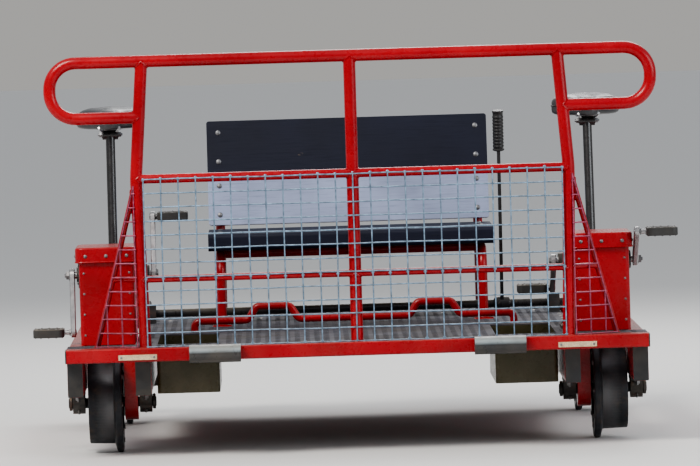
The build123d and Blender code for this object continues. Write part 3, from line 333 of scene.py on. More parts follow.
def rubber(name, colour, roughness, sky_sheen_and_weathering=0.0):
    """Black rubber or plastic; the last argument adds a light blue-grey on up-facing faces: a painted sky
    reflection, also standing for the whitish film that weather leaves on rubber.
    """
    s = Shader(name)
    tone = s.blotches(20.0, 4.0, colour, scaled(colour, 1.7))
    if sky_sheen_and_weathering:
        # Painted sky reflection, also weathering: light blue-grey mixed in on the faces that look up.
        patches = s.span(s.noise(24.0, 6.0), 0.2, 0.6, 0.6 * sky_sheen_and_weathering, sky_sheen_and_weathering)
        sheen_and_weathering_mask = s.math("MULTIPLY", s.span(s.facing_up(), 0.1, 0.55), patches)
        tone = s.mix(sheen_and_weathering_mask, tone, (0.36, 0.43, 0.46))
    s.set("Base Color", s.mix(dust_amount(s, 0.3), tone, DUST))
    s.roughen(50.0, 3.0, *roughness)
    s.bump(s.noise(320.0, 3.0), 0.2, 0.0005)
    return s.material


def vinyl(name, colour):
    """Black padded vinyl with a fine pebbled grain and a polished seat."""
    s = Shader(name, coat=0.15)
    cells = s.node("ShaderNodeTexVoronoi", (("Vector", s.place), ("Scale", 420.0)), feature="SMOOTH_F1")
    worn = s.span(s.noise(16.0, 4.0), 0.4, 0.7)
    s.set("Base Color", s.mix(worn, colour, scaled(colour, 2.2)))
    s.set("Roughness", s.span(worn, 0.0, 1.0, 0.38, 0.6))
    s.bump(cells.outputs["Distance"], 0.35, 0.0006)
    return s.material


def painted_wood(name, colour):
    """Brush-painted board: long grain under the paint, and bare wood where it is scuffed."""
    s = Shader(name, coat=0.04, glint=0.3)
    grain = s.noise(34.0, 6.0, 0.6, stretch=(0.35, 6.0, 6.0))
    paint = s.blotches(4.0, 3.0, scaled(colour, 0.75), scaled(colour, 1.2))
    paint = s.mix(s.span(grain, 0.52, 0.7, 0.0, 0.35), paint, scaled(colour, 0.45))
    scuffed = s.span(s.noise(13.0, 9.0, 0.75), 0.66, 0.7, 0.0, 0.8)
    s.set("Base Color", s.mix(scuffed, paint, (0.2, 0.15, 0.1)))
    s.set("Roughness", s.span(grain, 0.3, 0.7, 0.48, 0.68))
    s.bump(grain, 0.3, 0.0010)
    return s.material


def satin_metal(name, colour, roughness):
    """Plain or zinc-coated steel, dull with use."""
    s = Shader(name, metallic=0.95)
    tone = s.blotches(24.0, 5.0, scaled(colour, 0.75), colour)
    s.set("Base Color", s.mix(dust_amount(s, 0.25), tone, DUST))
    s.roughen(60.0, 4.0, *roughness)
    s.bump(s.noise(500.0, 2.0), 0.12, 0.0003)
    return s.material


def reflective(name):
    """Beige reflective strip with a fine cell pattern under its surface."""
    s = Shader(name, coat=0.8)
    cells = s.node("ShaderNodeTexVoronoi", (("Vector", s.place), ("Scale", 260.0)), feature="F1")
    cell = cells.outputs["Distance"]
    tone = s.ramp(cell, (0.1, (0.78, 0.63, 0.42)), (0.6, (0.5, 0.38, 0.24)))
    s.set("Base Color", s.mix(s.span(s.noise(30.0, 6.0), 0.5, 0.75, 0.0, 0.6), tone, DUST))
    s.set("Roughness", s.span(cell, 0.0, 0.7, 0.2, 0.4))
    return s.material


RED = (0.33, 0.0015, 0.006)
BLACK = (0.02, 0.02, 0.022)
MATERIALS = {
    "red_paint": painted("red_paint", RED, coat=0.12, chips=0.695, dusty=0.10, settled=0.3, glint=0.3),
    "mesh_steel": galvanised("mesh_steel", (0.21, 0.30, 0.40)),
    # The wing wire's pink-purple is red paint on zinc with a painted bluish sky reflection mixed in.
    "wing_wire": galvanised("wing_wire", (0.34, 0.085, 0.14)),
    "deck_metal": deck_metal("deck_metal"),
    "wheel_front": wheel_iron("wheel_iron_front", AXLE_FRONT),
    "wheel_rear": wheel_iron("wheel_iron_rear", AXLE_REAR),
    "bearing_iron": iron("bearing_iron", (0.05, 0.05, 0.052)),
    # The trays' dark olive is dark paint darkened further as painted shade, the shade under the deck.
    "tray_paint": painted("tray_paint", (0.056, 0.050, 0.022), coat=0.06, chips=0.62, dusty=0.35, glint=0.3),
    # The buffers' upper faces get a painted sky reflection, also standing for weathering.
    "buffer_rubber": rubber("buffer_rubber", (0.022, 0.022, 0.024), (0.25, 0.4), sky_sheen_and_weathering=0.9),
    "reflector": reflective("reflector"),
    "bench_navy": painted_wood("bench_navy", (0.0065, 0.0085, 0.023)),
    "bench_grey": painted_wood("bench_grey", (0.29, 0.33, 0.47)),
    "saddle_vinyl": vinyl("saddle_vinyl", BLACK),
    "crank_metal": satin_metal("crank_metal", (0.5, 0.5, 0.51), (0.28, 0.45)),
    "pedal_plastic": rubber("pedal_plastic", (0.02, 0.02, 0.02), (0.5, 0.68)),
    "brake_paint": painted("brake_paint", BLACK, coat=0.2, chips=0.64, primer=(0.12, 0.08, 0.06)),
    "bolt_steel": satin_metal("bolt_steel", (0.25, 0.25, 0.26), (0.4, 0.58)),
    "post_black": painted("post_black", (0.012, 0.012, 0.014), coat=0.3, chips=0.7, primer=(0.2, 0.2, 0.2)),
    "plug_black": rubber("plug_black", (0.014, 0.014, 0.015), (0.35, 0.5)),
}


def blacken_post(piece):
    """The seat post above the clamp is black; its tube and the beam under it are red."""
    piece.data.materials.append(MATERIALS["post_black"])
    clamp_top = (SADDLE_FOOT + SADDLE_WAY * CLAMP_TOP).z
    for face in piece.data.polygons:
        if (piece.matrix_world @ face.center).z > clamp_top:
            face.material_index = 1


def dress_cad_nodes():
    """Gives every carried-over CAD node its finish."""
    slots = {row["node"]: row["material_slot"] for row in frame["record"]["subparts"]}
    for node, piece in frame["nodes"].items():
        key = slots[node]
        if key == "wheel_iron":
            key = "wheel_front" if "front" in node else "wheel_rear"
        piece.data.materials.clear()
        piece.data.materials.append(MATERIALS[key])
        if node.startswith("saddle_frame"):
            blacken_post(piece)


# Mesh tools

class Shape:
    """Gathers the faces of many forms into one mesh."""

    def __init__(self):
        self.verts, self.faces = [], []

    def add(self, verts, faces):
        start = len(self.verts)
        self.verts += [tuple(v) for v in verts]
        self.faces += [tuple(start + i for i in face) for face in faces]

    def loft(self, rings, closed=False):
        """Joins rings of equal length; closed joins the last ring to the first, and open ends get a lid."""
        count = len(rings[0])
        verts = [v for ring in rings for v in ring]
        faces = []
        last = len(rings) if closed else len(rings) - 1
        for i in range(last):
            a, b = i * count, ((i + 1) % len(rings)) * count
            faces += [(a + k, a + (k + 1) % count, b + (k + 1) % count, b + k) for k in range(count)]
        if not closed:
            faces.append(tuple(reversed(range(count))))
            faces.append(tuple(range((len(rings) - 1) * count, len(rings) * count)))
        self.add(verts, faces)

    def turned(self, start, along, outline, sides=16):
        """A turned form: outline rows are (distance along, radius)."""
        way = Vector(along).normalized()
        across, beside = cross_axes(way)
        start = Vector(start)
        rings = []
        for distance, radius in outline:
            rings.append(circle(start + way * distance, across, beside, radius, sides))
        self.loft(rings)

    def tube(self, points, radius, sides=12, closed=False):
        """A round bar through many points."""
        points = [Vector(p) for p in points]
        rings = []
        across = None
        for i, point in enumerate(points):
            ahead = points[(i + 1) % len(points)] if closed or i + 1 < len(points) else point
            behind = points[i - 1] if closed or i else point
            way = (ahead - behind).normalized()
            if across is None:
                across = cross_axes(way)[0]
            across = (across - way * across.dot(way)).normalized()
            beside = way.cross(across)
            size = radius(i) if callable(radius) else radius
            rings.append(circle(point, across, beside, size, sides))
        self.loft(rings, closed)

    def box(self, low, high):
        """A plain block between two corners."""
        ring = ((low[0], low[1]), (high[0], low[1]), (high[0], high[1]), (low[0], high[1]))
        self.loft([[Vector((x, y, z)) for x, y in ring] for z in (low[2], high[2])])

    def dome(self, place, along, radius, height, sides=14):
        """A round pan or carriage-bolt head."""
        rows = ((0, 1), (0.35, 0.97), (0.72, 0.74), (1, 0.3))
        self.turned(place, along, [(height * a, radius * b) for a, b in rows], sides)

    def bead(self, points, radius=0.0024, closed=True, pitch=0.0036):
        """A rippled weld bead along a path."""
        path = evenly(points, pitch / 3, closed)
        self.tube(path, lambda i: radius * (0.94, 1.16, 1.0)[i % 3], 7, closed)

    def beads(self, curves, **how):
        """Beads along curves made on the left and along their mirror images."""
        for side in BOTH:
            for curve in curves:
                self.bead(mirrored(curve, side), **how)

    def hex_head(self, place, along, across_flats, height, washer=True, stub=True):
        """A bolt head or nut on its washer, standing up from a face, with the bolt's end in it."""
        way = Vector(along).normalized()
        radius = across_flats / math.sqrt(3)
        low = 0.0
        if washer:
            rows = ((0, radius * 1.18), (0.0016, radius * 1.18), (0.0018, radius * 1.12))
            self.turned(place, way, rows, 20)
            low = 0.0016
        top = low + height
        self.turned(place, way, ((low, radius), (top - height * 0.16, radius), (top, radius * 0.86)), 6)
        if stub:
            rows = ((top - 0.0002, radius * 0.45), (top + 0.003, radius * 0.45), (top + 0.004, radius * 0.36))
            self.turned(place, way, rows, 12)

    def piece(self, name, material, body="chassis", slot=None, smooth=40):
        mesh = bpy.data.meshes.new(name)
        mesh.from_pydata(self.verts, [], self.faces)
        mesh.validate()
        made = placed(name, mesh)
        shade(made, smooth)
        mesh.materials.append(MATERIALS[material])
        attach(made, body)
        return made


def placed(name, data):
    """A new object in the scene."""
    made = bpy.data.objects.new(name, data)
    bpy.context.collection.objects.link(made)
    return made


def turns(count):
    """Evenly spaced angles round a circle."""
    return [2 * math.pi * i / count for i in range(count)]


def circle(middle, across, beside, radius, count):
    """Points round a circle that lies along two directions."""
    return [middle + (across * math.cos(a) + beside * math.sin(a)) * radius for a in turns(count)]


def rounded(reach_x, reach_y, radius, steps):
    """A rounded rectangle's outline, from its corners' centres and their radius."""
    outline = []
    for quarter, (a, b) in enumerate(CORNERS):
        for i in range(steps + 1):
            turn = math.radians(90 * (quarter + i / steps))
            outline.append((a * reach_x + radius * math.cos(turn), b * reach_y + radius * math.sin(turn)))
    return outline


def evenly(points, step, closed):
    """The path cut into steps of nearly the same length, a whole number of threes."""
    points = [Vector(p) for p in points]
    if closed:
        points.append(points[0])
    lengths = [(b - a).length for a, b in zip(points, points[1:])]
    count = max(6, 3 * round(sum(lengths) / step / 3))
    each = sum(lengths) / count
    path = []
    leg, before = 0, 0.0
    for i in range(count if closed else count + 1):
        reach = i * each
        while leg < len(lengths) - 1 and reach > before + lengths[leg]:
            before += lengths[leg]
            leg += 1
        share = 0 if lengths[leg] < 1e-9 else min(1, (reach - before) / lengths[leg])
        path.append(points[leg].lerp(points[leg + 1], share))
    return path


def joint_curve(start, way, radius, main_place, main_way, main_radius, steps=72):
    """The closed line where a branch tube's surface meets a main tube's surface."""
    way, main_way = Vector(way).normalized(), Vector(main_way).normalized()
    across, beside = cross_axes(way)
    slide = way - main_way * way.dot(main_way)
    points = []
    for foot in circle(Vector(start), across, beside, radius, steps):
        gap = foot - Vector(main_place)
        flat = gap - main_way * gap.dot(main_way)
        inside = max(0.0, flat.dot(slide) ** 2 - slide.dot(slide) * (flat.dot(flat) - main_radius ** 2))
        points.append(foot + way * ((math.sqrt(inside) - flat.dot(slide)) / slide.dot(slide)))
    return points


def ring_curve(middle, way, radius, steps=48):
    """A circle square to a direction."""
    across, beside = cross_axes(Vector(way).normalized())
    return circle(Vector(middle), across, beside, radius, steps)


def mirrored(points, side):
    """Points made on the left, or their mirror images for the right."""
    return [flipped(p, side) for p in points]


def flipped(vector, side):
    """One place or direction made on the left, or its mirror image for the right."""
    return Vector((vector[0] * side, vector[1], vector[2]))


def cross_axes(way):
    """Two directions square to a way and to each other."""
    helper = Vector((0, 0, 1)) if abs(way.z) < 0.9 else Vector((1, 0, 0))
    across = way.cross(helper).normalized()
    return across, way.cross(across)


def shade(piece, angle=40):
    """Outward faces, smooth where they meet at less than the angle."""
    work = bmesh.new()
    work.from_mesh(piece.data)
    bmesh.ops.recalc_face_normals(work, faces=work.faces)
    for face in work.faces:
        face.smooth = True
    for edge in work.edges:
        if len(edge.link_faces) == 2 and edge.calc_face_angle(0) > math.radians(angle):
            edge.smooth = False
    work.to_mesh(piece.data)
    work.free()


# Guard mesh

PITCH_X, PITCH_Z, WIRE_R = 0.050, 0.040, 0.0021


def wire(shape, start, end):
    """One welded wire with the slight bends that use leaves in it."""
    start, end = Vector(start), Vector(end)
    steps = max(2, int((end - start).length / 0.12))
    points = []
    for i in range(steps + 1):
        wobble = 0 if i in (0, steps) else 0.0009
        shift = Vector([random.uniform(-wobble, wobble) for _ in range(3)])
        points.append(start.lerp(end, i / steps) + shift)
    shape.tube(points, WIRE_R, 8)


def wire_places(low, high, pitch):
    """Where the wires lie between two edges of the middle mesh."""
    return [low + 0.002 + i * pitch for i in range(round((high - low) / pitch) + 1)]


def mesh_front():
    """The middle mesh: upright wires behind, level wires in front of them."""
    low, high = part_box("mesh_front")
    shape = Shape()
    behind, ahead = high.y - WIRE_R, low.y + WIRE_R * 1.3
    for x in wire_places(low.x, high.x, PITCH_X):
        wire(shape, (x, behind, low.z), (x, behind, high.z))
    for z in wire_places(low.z, high.z, PITCH_Z):
        wire(shape, (low.x, ahead, z), (high.x, ahead, z))
    made = shape.piece("guard_mesh_front", "mesh_steel", slot="mesh_steel")
    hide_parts("mesh_front")


def mesh_wings():
    """Both three-cornered wings: upright wires and level wires, cut along the sloping edge."""
    low_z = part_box("mesh_wings")[0].z
    shape = Shape()
    way = Vector((math.cos(WING_FOLD), math.sin(WING_FOLD), 0))
    normal = Vector((math.sin(WING_FOLD), -math.cos(WING_FOLD), 0))
    reach = (WING_FOOT.x - POST_BEND.x) / math.cos(WING_FOLD)
    foot = Vector((WING_TOP.x, WING_TOP.y, low_z)) + normal * (WING_TUBE_R + WIRE_R)
    height = MID_RAIL_Z - DECK
    for side in BOTH:
        uprights = 0.0045
        while uprights < reach - 0.01:
            base = foot + way * uprights
            top = base + UP * (height * (1 - uprights / reach) - 0.004)
            wire(shape, flipped(base, side), flipped(top, side))
            uprights += PITCH_X
        level = WIRE_R
        while level < height * 0.93:
            start = foot + UP * level + normal * WIRE_R * 0.7
            end = start + way * (reach * (1 - level / height) - 0.002)
            wire(shape, flipped(start, side), flipped(end, side))
            level += PITCH_Z
        low_end, high_end = foot + way * (reach - 0.003), foot + way * 0.005 + UP * (height * 0.955)
        wire(shape, flipped(low_end, side), flipped(high_end, side))
    made = shape.piece("guard_mesh_wings", "wing_wire", slot="mesh_steel")
    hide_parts("mesh_wings")


# Welds

def guard_welds():
    """Beads round every joint of the front guard's tubes."""
    shape = Shape()
    rails = ((MID_RAIL_Z, MID_RAIL_R, POST_BEND.x), (LOWER_RAIL_Z, LOWER_RAIL_R, LOWER_RAIL_END_X))
    slope = POST_TOP - POST_BEND
    wing = WING_FOOT - WING_TOP
    branch = WING_TOP + wing * ((MID_RAIL_Z - LOWER_RAIL_Z) / (MID_RAIL_Z - DECK))
    root = Vector((LOWER_RAIL_END_X, WING_TOP.y, LOWER_RAIL_Z))
    handle = POST_BEND + slope * ((HANDLE_Z - MID_RAIL_Z) / slope.z)
    along = Vector((1, 0, 0))
    centre = Vector((0, POST_Y, TOP_RAIL_Z))
    shape.bead(joint_curve(centre, -UP, POST_R, centre, along, POST_R))
    shape.bead(ring_curve((0, POST_Y, DECK), UP, POST_R + 0.001))
    curves = [
        joint_curve(POST_TOP, -slope, POST_R, POST_TOP, along, POST_R),
        joint_curve(handle, along, POST_R, handle, slope, POST_R),
        joint_curve(WING_TOP, wing, WING_TUBE_R, POST_BEND, UP, POST_R),
        joint_curve(root, branch - root, WING_TUBE_R, (root.x, POST_Y, root.z), UP, POST_R),
        joint_curve(branch, root - branch, WING_TUBE_R, branch, wing, WING_TUBE_R),
        ring_curve(POST_FOOT, UP, POST_R + 0.001),
        ring_curve(WING_FOOT, UP, WING_TUBE_R + 0.001),
    ]
    for height, radius, post_x in rails:
        inner = Vector((0, FLUSH_Y + radius, height))
        outer = Vector((post_x, FLUSH_Y + radius, height))
        curves.append(joint_curve(inner, along, radius, (0, POST_Y, height), UP, POST_R))
        curves.append(joint_curve(outer, -along, radius, (post_x, POST_Y, height), UP, POST_R))
    shape.beads(curves)
    shape.piece("guard_welds", "red_paint", slot="red_paint")


def mesh_dots():
    """The small welds that hold the mesh's upright wires to the rails and the beam."""
    shape = Shape()
    low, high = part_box("mesh_front")
    for x in wire_places(low.x, high.x, PITCH_X):
        for z in (MID_RAIL_Z, LOWER_RAIL_Z, DECK + 0.003):
            place = (x, FLUSH_Y + 0.001, z + random.uniform(-0.002, 0.002))
            shape.dome(place, (0, -1, 0), *WIRE_WELD)
    shape.piece("mesh_welds", "mesh_steel", slot="mesh_steel")


def beam_seam(x_low, x_high, y, beam_top, end_beam_low):
    """Beads up both sides and over the top of a long beam's end."""
    return ((x_low, y, end_beam_low), (x_low, y, beam_top - 0.004), (x_low + 0.004, y, beam_top),
            (x_high - 0.004, y, beam_top), (x_high, y, beam_top - 0.004), (x_high, y, end_beam_low))


def frame_welds():
    """Beads where the long beams meet the end beams, at the bearers, the saddle tubes and the foot rest."""
    low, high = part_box("cross_bearers")
    bearer, brace_half, brace_depth, tube_bead = 0.040, 0.025, 0.037, 0.0215
    seams = []
    for beam in (SIDE_BEAM, INNER_BEAM):
        for y in (FRONT_BEAM[1].y, REAR_BEAM[0].y):
            seams.append(beam_seam(beam[0].x, beam[1].x, y, beam[1].z, FRONT_BEAM[0].z))
    for y in (low.y, (low.y + high.y - bearer) / 2, high.y - bearer):
        for edge in (y, y + bearer):
            seams.append(((high.x, edge, low.z + 0.003), (high.x, edge, high.z - 0.003)))
        seams.append(((high.x, y + 0.003, low.z), (high.x, y + bearer - 0.003, low.z)))
    for edge in (SADDLE_FOOT.y - brace_half, SADDLE_FOOT.y + brace_half):
        for x in (INNER_BEAM[1].x, SIDE_BEAM[0].x):
            seams.append(((x, edge, SADDLE_FOOT.z - brace_depth), (x, edge, SADDLE_FOOT.z - 0.003)))
    rings = (
        ring_curve(SADDLE_FOOT, UP, tube_bead),
        ring_curve(SADDLE_FOOT + SADDLE_WAY * CLAMP_SEAT, SADDLE_WAY, tube_bead),
        ring_curve((FOOT_REST_X, FOOT_REST_Y, DECK), UP, FOOT_REST_R + 0.001),
    )
    shape = Shape()
    shape.beads(seams, closed=False)
    shape.beads(rings)
    shape.piece("frame_welds", "red_paint", slot="red_paint")


def bench_welds():
    """Beads round the bench tubes' joints and feet."""
    shape = Shape()
    along, inward = Vector((0, 1, 0)), Vector((-1, 0, 0))
    post = Vector((BENCH_LEG_X, BACK_POST_Y, SEAT_RAIL_Z))
    front = Vector((BENCH_LEG_X, BENCH_LEG_Y + 0.120, SEAT_RAIL_Z))
    curves = [
        joint_curve(post, -along, BENCH_TUBE_R, post, UP, BENCH_TUBE_R),
        joint_curve(front, inward, BENCH_TUBE_R, front, along, BENCH_TUBE_R),
        joint_curve(post, inward, BENCH_TUBE_R, post, UP, BENCH_TUBE_R),
    ]
    plates = []
    half = 0.028
    for y in (BENCH_LEG_Y, BACK_POST_Y):
        curves.append(ring_curve((BENCH_LEG_X, y, BENCH_PLATE_TOP), UP, BENCH_TUBE_R + 0.001))
        plates.append([(BENCH_LEG_X + a * half, y + b * half, DECK) for a, b in CORNERS])
    shape.beads(curves)
    shape.beads(plates, radius=0.0018)
    shape.piece("bench_welds", "red_paint", slot="red_paint")


# Bolts, nuts, screws and other small fittings

def bearing_fittings():
    """Foot bolts under each axle bearing, and its grease nipple."""
    bolts, nipples = Shape(), Shape()
    foot = SIDE_BEAM[0].z - 0.012
    way = Vector((0, -0.7071, -0.7071))
    rows = ((0, 0.0045), (0.004, 0.0045), (0.0045, 0.003), (0.009, 0.0028), (0.0105, 0.0036), (0.012, 0.002))
    for side in BOTH:
        for axle in (AXLE_FRONT, AXLE_REAR):
            for beam in (INNER_BEAM, SIDE_BEAM):
                x = (beam[0].x + beam[1].x) / 2 * side
                for shift in (-0.056, 0.056):
                    bolts.hex_head((x, axle.y + shift, foot), -UP, *FOOT_BOLT)
                nipples.turned(Vector((x, axle.y, axle.z)) + way * 0.030, way, rows, 10)
    bolts.piece("bearing_bolts", "bolt_steel")
    nipples.piece("grease_nipples", "bolt_steel")


def wheel_fittings():
    """Collars, the flange ring's bolts and the hub's set screws, which turn with each wheel."""
    collar_r, bolt_circle_r, hub_r = 0.022, 0.110, 0.0355
    rows = ((0, collar_r - 0.0015), (0.0015, collar_r), (0.0075, collar_r), (0.009, collar_r - 0.0015))
    for side_name, side in SIDES:
        for end_name, axle in (("front", AXLE_FRONT), ("rear", AXLE_REAR)):
            body = f"wheel_{end_name}_{side_name}"
            low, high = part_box(body)
            inner, outer = min(abs(low.x), abs(high.x)), max(abs(low.x), abs(high.x))
            collars, bolts = Shape(), Shape()
            for x in (inner + 0.002, outer - 0.011):
                collars.turned((x * side, axle.y, axle.z), (side, 0, 0), rows, 28)
                collars.dome(((x + 0.0045) * side, axle.y, axle.z + collar_r - 0.0005), UP, *GRUB_SCREW)
            for place in ring_curve((FLANGE_FACE_X * side, axle.y, axle.z), (1, 0, 0), bolt_circle_r, 8):
                bolts.hex_head(place, (-side, 0, 0), *FLANGE_BOLT, washer=False, stub=False)
            for a in (0.6, 0.6 + math.pi):
                way = Vector((0, math.cos(a), math.sin(a)))
                place = Vector((HUB_SCREW_X * side, axle.y, axle.z)) + way * hub_r
                bolts.hex_head(place, way, *HUB_SCREW, washer=False, stub=False)
            collars.piece(f"{body}_collars", "bearing_iron", body)
            bolts.piece(f"{body}_bolts", "bolt_steel", body)


def crank_fittings():
    """Spindle nuts and the riveted backs of the pedal pins, which turn with each crank."""
    for side_name, side in SIDES:
        body = f"crank_set_{side_name}"
        shape = Shape()
        for kind, x, way in (("outer", ARM_OUTER_X, 1), ("inner", ARM_INNER_X, -1)):
            face, out = (x + way * ARM_THICKNESS) * side, Vector((way * side, 0, 0))
            stub = kind == "outer"
            shape.hex_head((face, CRANK.y, CRANK.z), out, 0.022, 0.009 if stub else 0.004, stub=stub)
            pin = joint_place(f"pedal_{kind}_{side_name}_turn")
            shape.dome((x * side, pin.y, pin.z), -out, *PIN_END)
            shape.turned((face, pin.y, pin.z), out, ((0, 0.0105), (0.004, 0.0105), (0.0046, 0.0098)), 6)
        shape.piece(f"{body}_nuts", "bolt_steel", body)


def pedal_fittings():
    """Grip studs on both faces of each pedal."""
    for side_name, _ in SIDES:
        for kind in ("outer", "inner"):
            body = f"pedal_{kind}_{side_name}"
            low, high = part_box(body)
            middle = (low + high) / 2
            spots = []
            for x in (low.x + 0.006, high.x - 0.006):
                spots += [(x, y) for y in (low.y + 0.022, middle.y - 0.020, middle.y + 0.020, high.y - 0.022)]
            for x in (middle.x - 0.022, middle.x, middle.x + 0.022):
                spots += [(x, y) for y in (low.y + 0.006, high.y - 0.006)]
            studs = Shape()
            for x, y in spots:
                studs.dome((x, y, high.z - 0.0002), UP, *GRIP_STUD)
                studs.dome((x, y, low.z + 0.0002), -UP, *GRIP_STUD)
            studs.piece(f"{body}_studs", "bolt_steel", body)


def case_fittings():
    """The lid's rolled lip and screws, the case's rivets and the bolts of both crank bearings."""
    lip, screws = Shape(), Shape()
    low, high = CASE
    middle = (low + high) / 2
    corner = 0.022
    outline = rounded(high.x - middle.x - corner, high.y - middle.y - corner, corner, 6)
    path = [(middle.x + x, middle.y + y, high.z - 0.0425) for x, y in outline]
    lid_z = high.z - 0.025
    bracket_x = (INNER_BEAM[0].x + INNER_BEAM[1].x) / 2
    reach = 0.031 * math.sqrt(0.5)
    seal = ((0, 0.0215), (0.0012, 0.0210), (0.0012, 0.0122))
    for side in BOTH:
        lip.tube(mirrored(path, side), 0.0022, 8, closed=True)
        for y, way in ((low.y, -1), (high.y, 1)):
            for x in (low.x + 0.030, middle.x, high.x - 0.030):
                screws.dome((x * side, y, lid_z), (0, way, 0), *LID_SCREW)
            for x in (low.x + 0.024, high.x - 0.024):
                for i in range(4):
                    place = (x * side, y - way * 0.010, DECK + 0.025 + i * 0.060)
                    screws.dome(place, (0, way, 0), *CASE_RIVET)
        for x, way in ((low.x, -side), (high.x, side)):
            for y in (low.y + 0.035, high.y - 0.035):
                screws.dome((x * side, y, lid_z), (way, 0, 0), *LID_SCREW)
        for a, b in CORNERS:
            place = ((high.x - 0.005) * side, CRANK.y + a * reach, CRANK.z + b * reach)
            screws.hex_head(place, (side, 0, 0), *BEARING_BOLT, washer=False, stub=False)
            place = ((bracket_x + a * 0.0115) * side, CRANK.y + b * 0.055, DECK + 0.008)
            screws.hex_head(place, UP, *PLATE_BOLT, stub=False)
        screws.turned(((BEARINGS[0].x + 0.0001) * side, CRANK.y, CRANK.z), (-side, 0, 0), seal, 24)
    lip.piece("case_lips", "red_paint", slot="red_paint")
    screws.piece("case_screws", "bolt_steel")


def beam_plugs():
    """Black plastic plugs in the open ends of the beams."""
    shape = Shape()
    for side in BOTH:
        for beam in (FRONT_BEAM, REAR_BEAM):
            middle = (beam[0] + beam[1]) / 2
            rings = []
            for reach, inset in ((-0.001, 0.0), (0.002, 0.0), (0.0032, 0.0015)):
                x = (beam[1].x + reach) * side
                outline = rounded(0.024, 0.014, 0.006 - inset, 4)
                rings.append([Vector((x, middle.y + y, middle.z + z)) for y, z in outline])
            shape.loft(rings)
        for beam in (SIDE_BEAM, INNER_BEAM):
            x = sorted(((beam[0].x + 0.0005) * side, (beam[1].x - 0.0005) * side))
            for y in ((beam[0].y - 0.003, beam[0].y + 0.001), (beam[1].y - 0.001, beam[1].y + 0.003)):
                shape.box((x[0], y[0], beam[0].z + 0.0005), (x[1], y[1], FRONT_BEAM[0].z - 0.0008))
    shape.piece("beam_plugs", "plug_black")


def board_point(x, distance):
    """A point on a back post's slope, measured up from the seat's underside."""
    slope = Vector((0, math.sin(BACK_LEAN), math.cos(BACK_LEAN)))
    return Vector((x, BACK_POST_Y, SEAT[0].z)) + slope * distance


def bench_fittings():
    """Carriage bolts through the boards and the seat, with their nuts, and the foot plates' bolts."""
    heads, nuts = Shape(), Shape()
    normal = Vector((0, -math.cos(BACK_LEAN), math.sin(BACK_LEAN)))
    board_face = normal * (BENCH_TUBE_R + BOARD_THICKNESS + 0.0001)
    seat_under = SEAT[0].z - 2 * BENCH_TUBE_R
    bolt_reach, plate_reach = 0.045, 0.0205
    for x in (BENCH_LEG_X, -BENCH_LEG_X):
        for middle in BOARD_MIDDLES:
            for distance in (middle - bolt_reach, middle + bolt_reach):
                place = board_point(x, distance)
                heads.dome(place + board_face, normal, *CARRIAGE_BOLT)
                nuts.hex_head(place - normal * (BENCH_TUBE_R - 0.001), -normal, *BENCH_NUT)
        for y in (SEAT[0].y + 0.125, SEAT[1].y - 0.060):
            heads.dome((x, y, SEAT[1].z - 0.0002), UP, *CARRIAGE_BOLT)
            nuts.hex_head((x, y, seat_under + 0.001), -UP, *BENCH_NUT)
        for y in (BENCH_LEG_Y, BACK_POST_Y):
            for a, b in CORNERS:
                place = (x + a * plate_reach, y + b * plate_reach, BENCH_PLATE_TOP)
                nuts.hex_head(place, UP, *PLATE_BOLT, stub=False)
    heads.piece("bench_carriage_bolts", "bolt_steel")
    nuts.piece("bench_nuts", "bolt_steel")


def brake_fittings():
    """Bolts on the shaft's blocks, and on the brake itself welds and the ribbed grip."""
    bolts, beads, grip = Shape(), Shape(), Shape()
    block_x = (INNER_BEAM[0].x + INNER_BEAM[1].x) / 2
    for x in (block_x, -block_x):
        for y in (BRAKE.y - 0.0195, BRAKE.y + 0.0195):
            bolts.hex_head((x, y, BRAKE_BLOCK[1].z), UP, *BLOCK_BOLT)
    bolts.piece("brake_block_bolts", "bolt_steel")
    for x in (BRAKE_ARM_FACE_X, -BRAKE_ARM_FACE_X, LEVER_X - 0.0225, LEVER_X + 0.0225):
        beads.bead(ring_curve((x, BRAKE.y, BRAKE.z), (1, 0, 0), 0.0132))
    beads.piece("brake_welds", "brake_paint", "brake", "brake_paint")
    rows = [(0.0, 0.0151), (0.002, 0.0178), (0.005, 0.0178), (0.007, 0.0156)]
    for i in range(10):
        start = 0.011 + i * 0.010
        rows += [(start, 0.0156), (start + 0.0015, 0.0168), (start + 0.0055, 0.0168), (start + 0.007, 0.0156)]
    rows += [(0.117, 0.0156), (0.120, 0.0172), (0.1245, 0.0165), (0.1262, 0.011)]
    foot = Vector((LEVER_X, BRAKE.y, BRAKE.z))
    grip.turned(foot + LEVER_WAY * GRIP_START, LEVER_WAY, rows, 28)
    grip.piece("brake_grip", "plug_black", "brake")


def saddle_clamps():
    """Clamp bolts through the saddle tubes' ears and through the posts' heads, and the saddles' rails."""
    bolts, rails = Shape(), Shape()
    across = Vector((0, math.cos(SADDLE_LEAN), -math.sin(SADDLE_LEAN)))
    ear = SADDLE_FOOT + SADDLE_WAY * CLAMP_EAR + across * 0.034
    head = SADDLE_FOOT + SADDLE_WAY * SADDLE_HEAD
    ear_half, head_half, rail_rise = 0.011, 0.023, 0.0115
    bends = ((0.030, -0.115, 0.012), (0.024, -0.085, 0.002), (0.021, -0.070, 0.0),
             (0.021, 0.070, 0.0), (0.026, 0.090, 0.002), (0.045, 0.118, 0.014))
    for side in BOTH:
        for way in (-1, 1):
            out = Vector((way * side, 0, 0))
            bolts.hex_head(flipped(ear, side) + out * ear_half, out, *CLAMP_BOLT)
            bolts.hex_head(flipped(head, side) + out * head_half, out, *HEAD_BOLT)
            path = [(head.x + way * x, head.y + y, head.z + rail_rise + z) for x, y, z in bends]
            rails.tube(mirrored(path, side), 0.0035, 10)
    bolts.piece("saddle_bolts", "bolt_steel")
    rails.piece("saddle_rails", "crank_metal", slot="crank_metal")


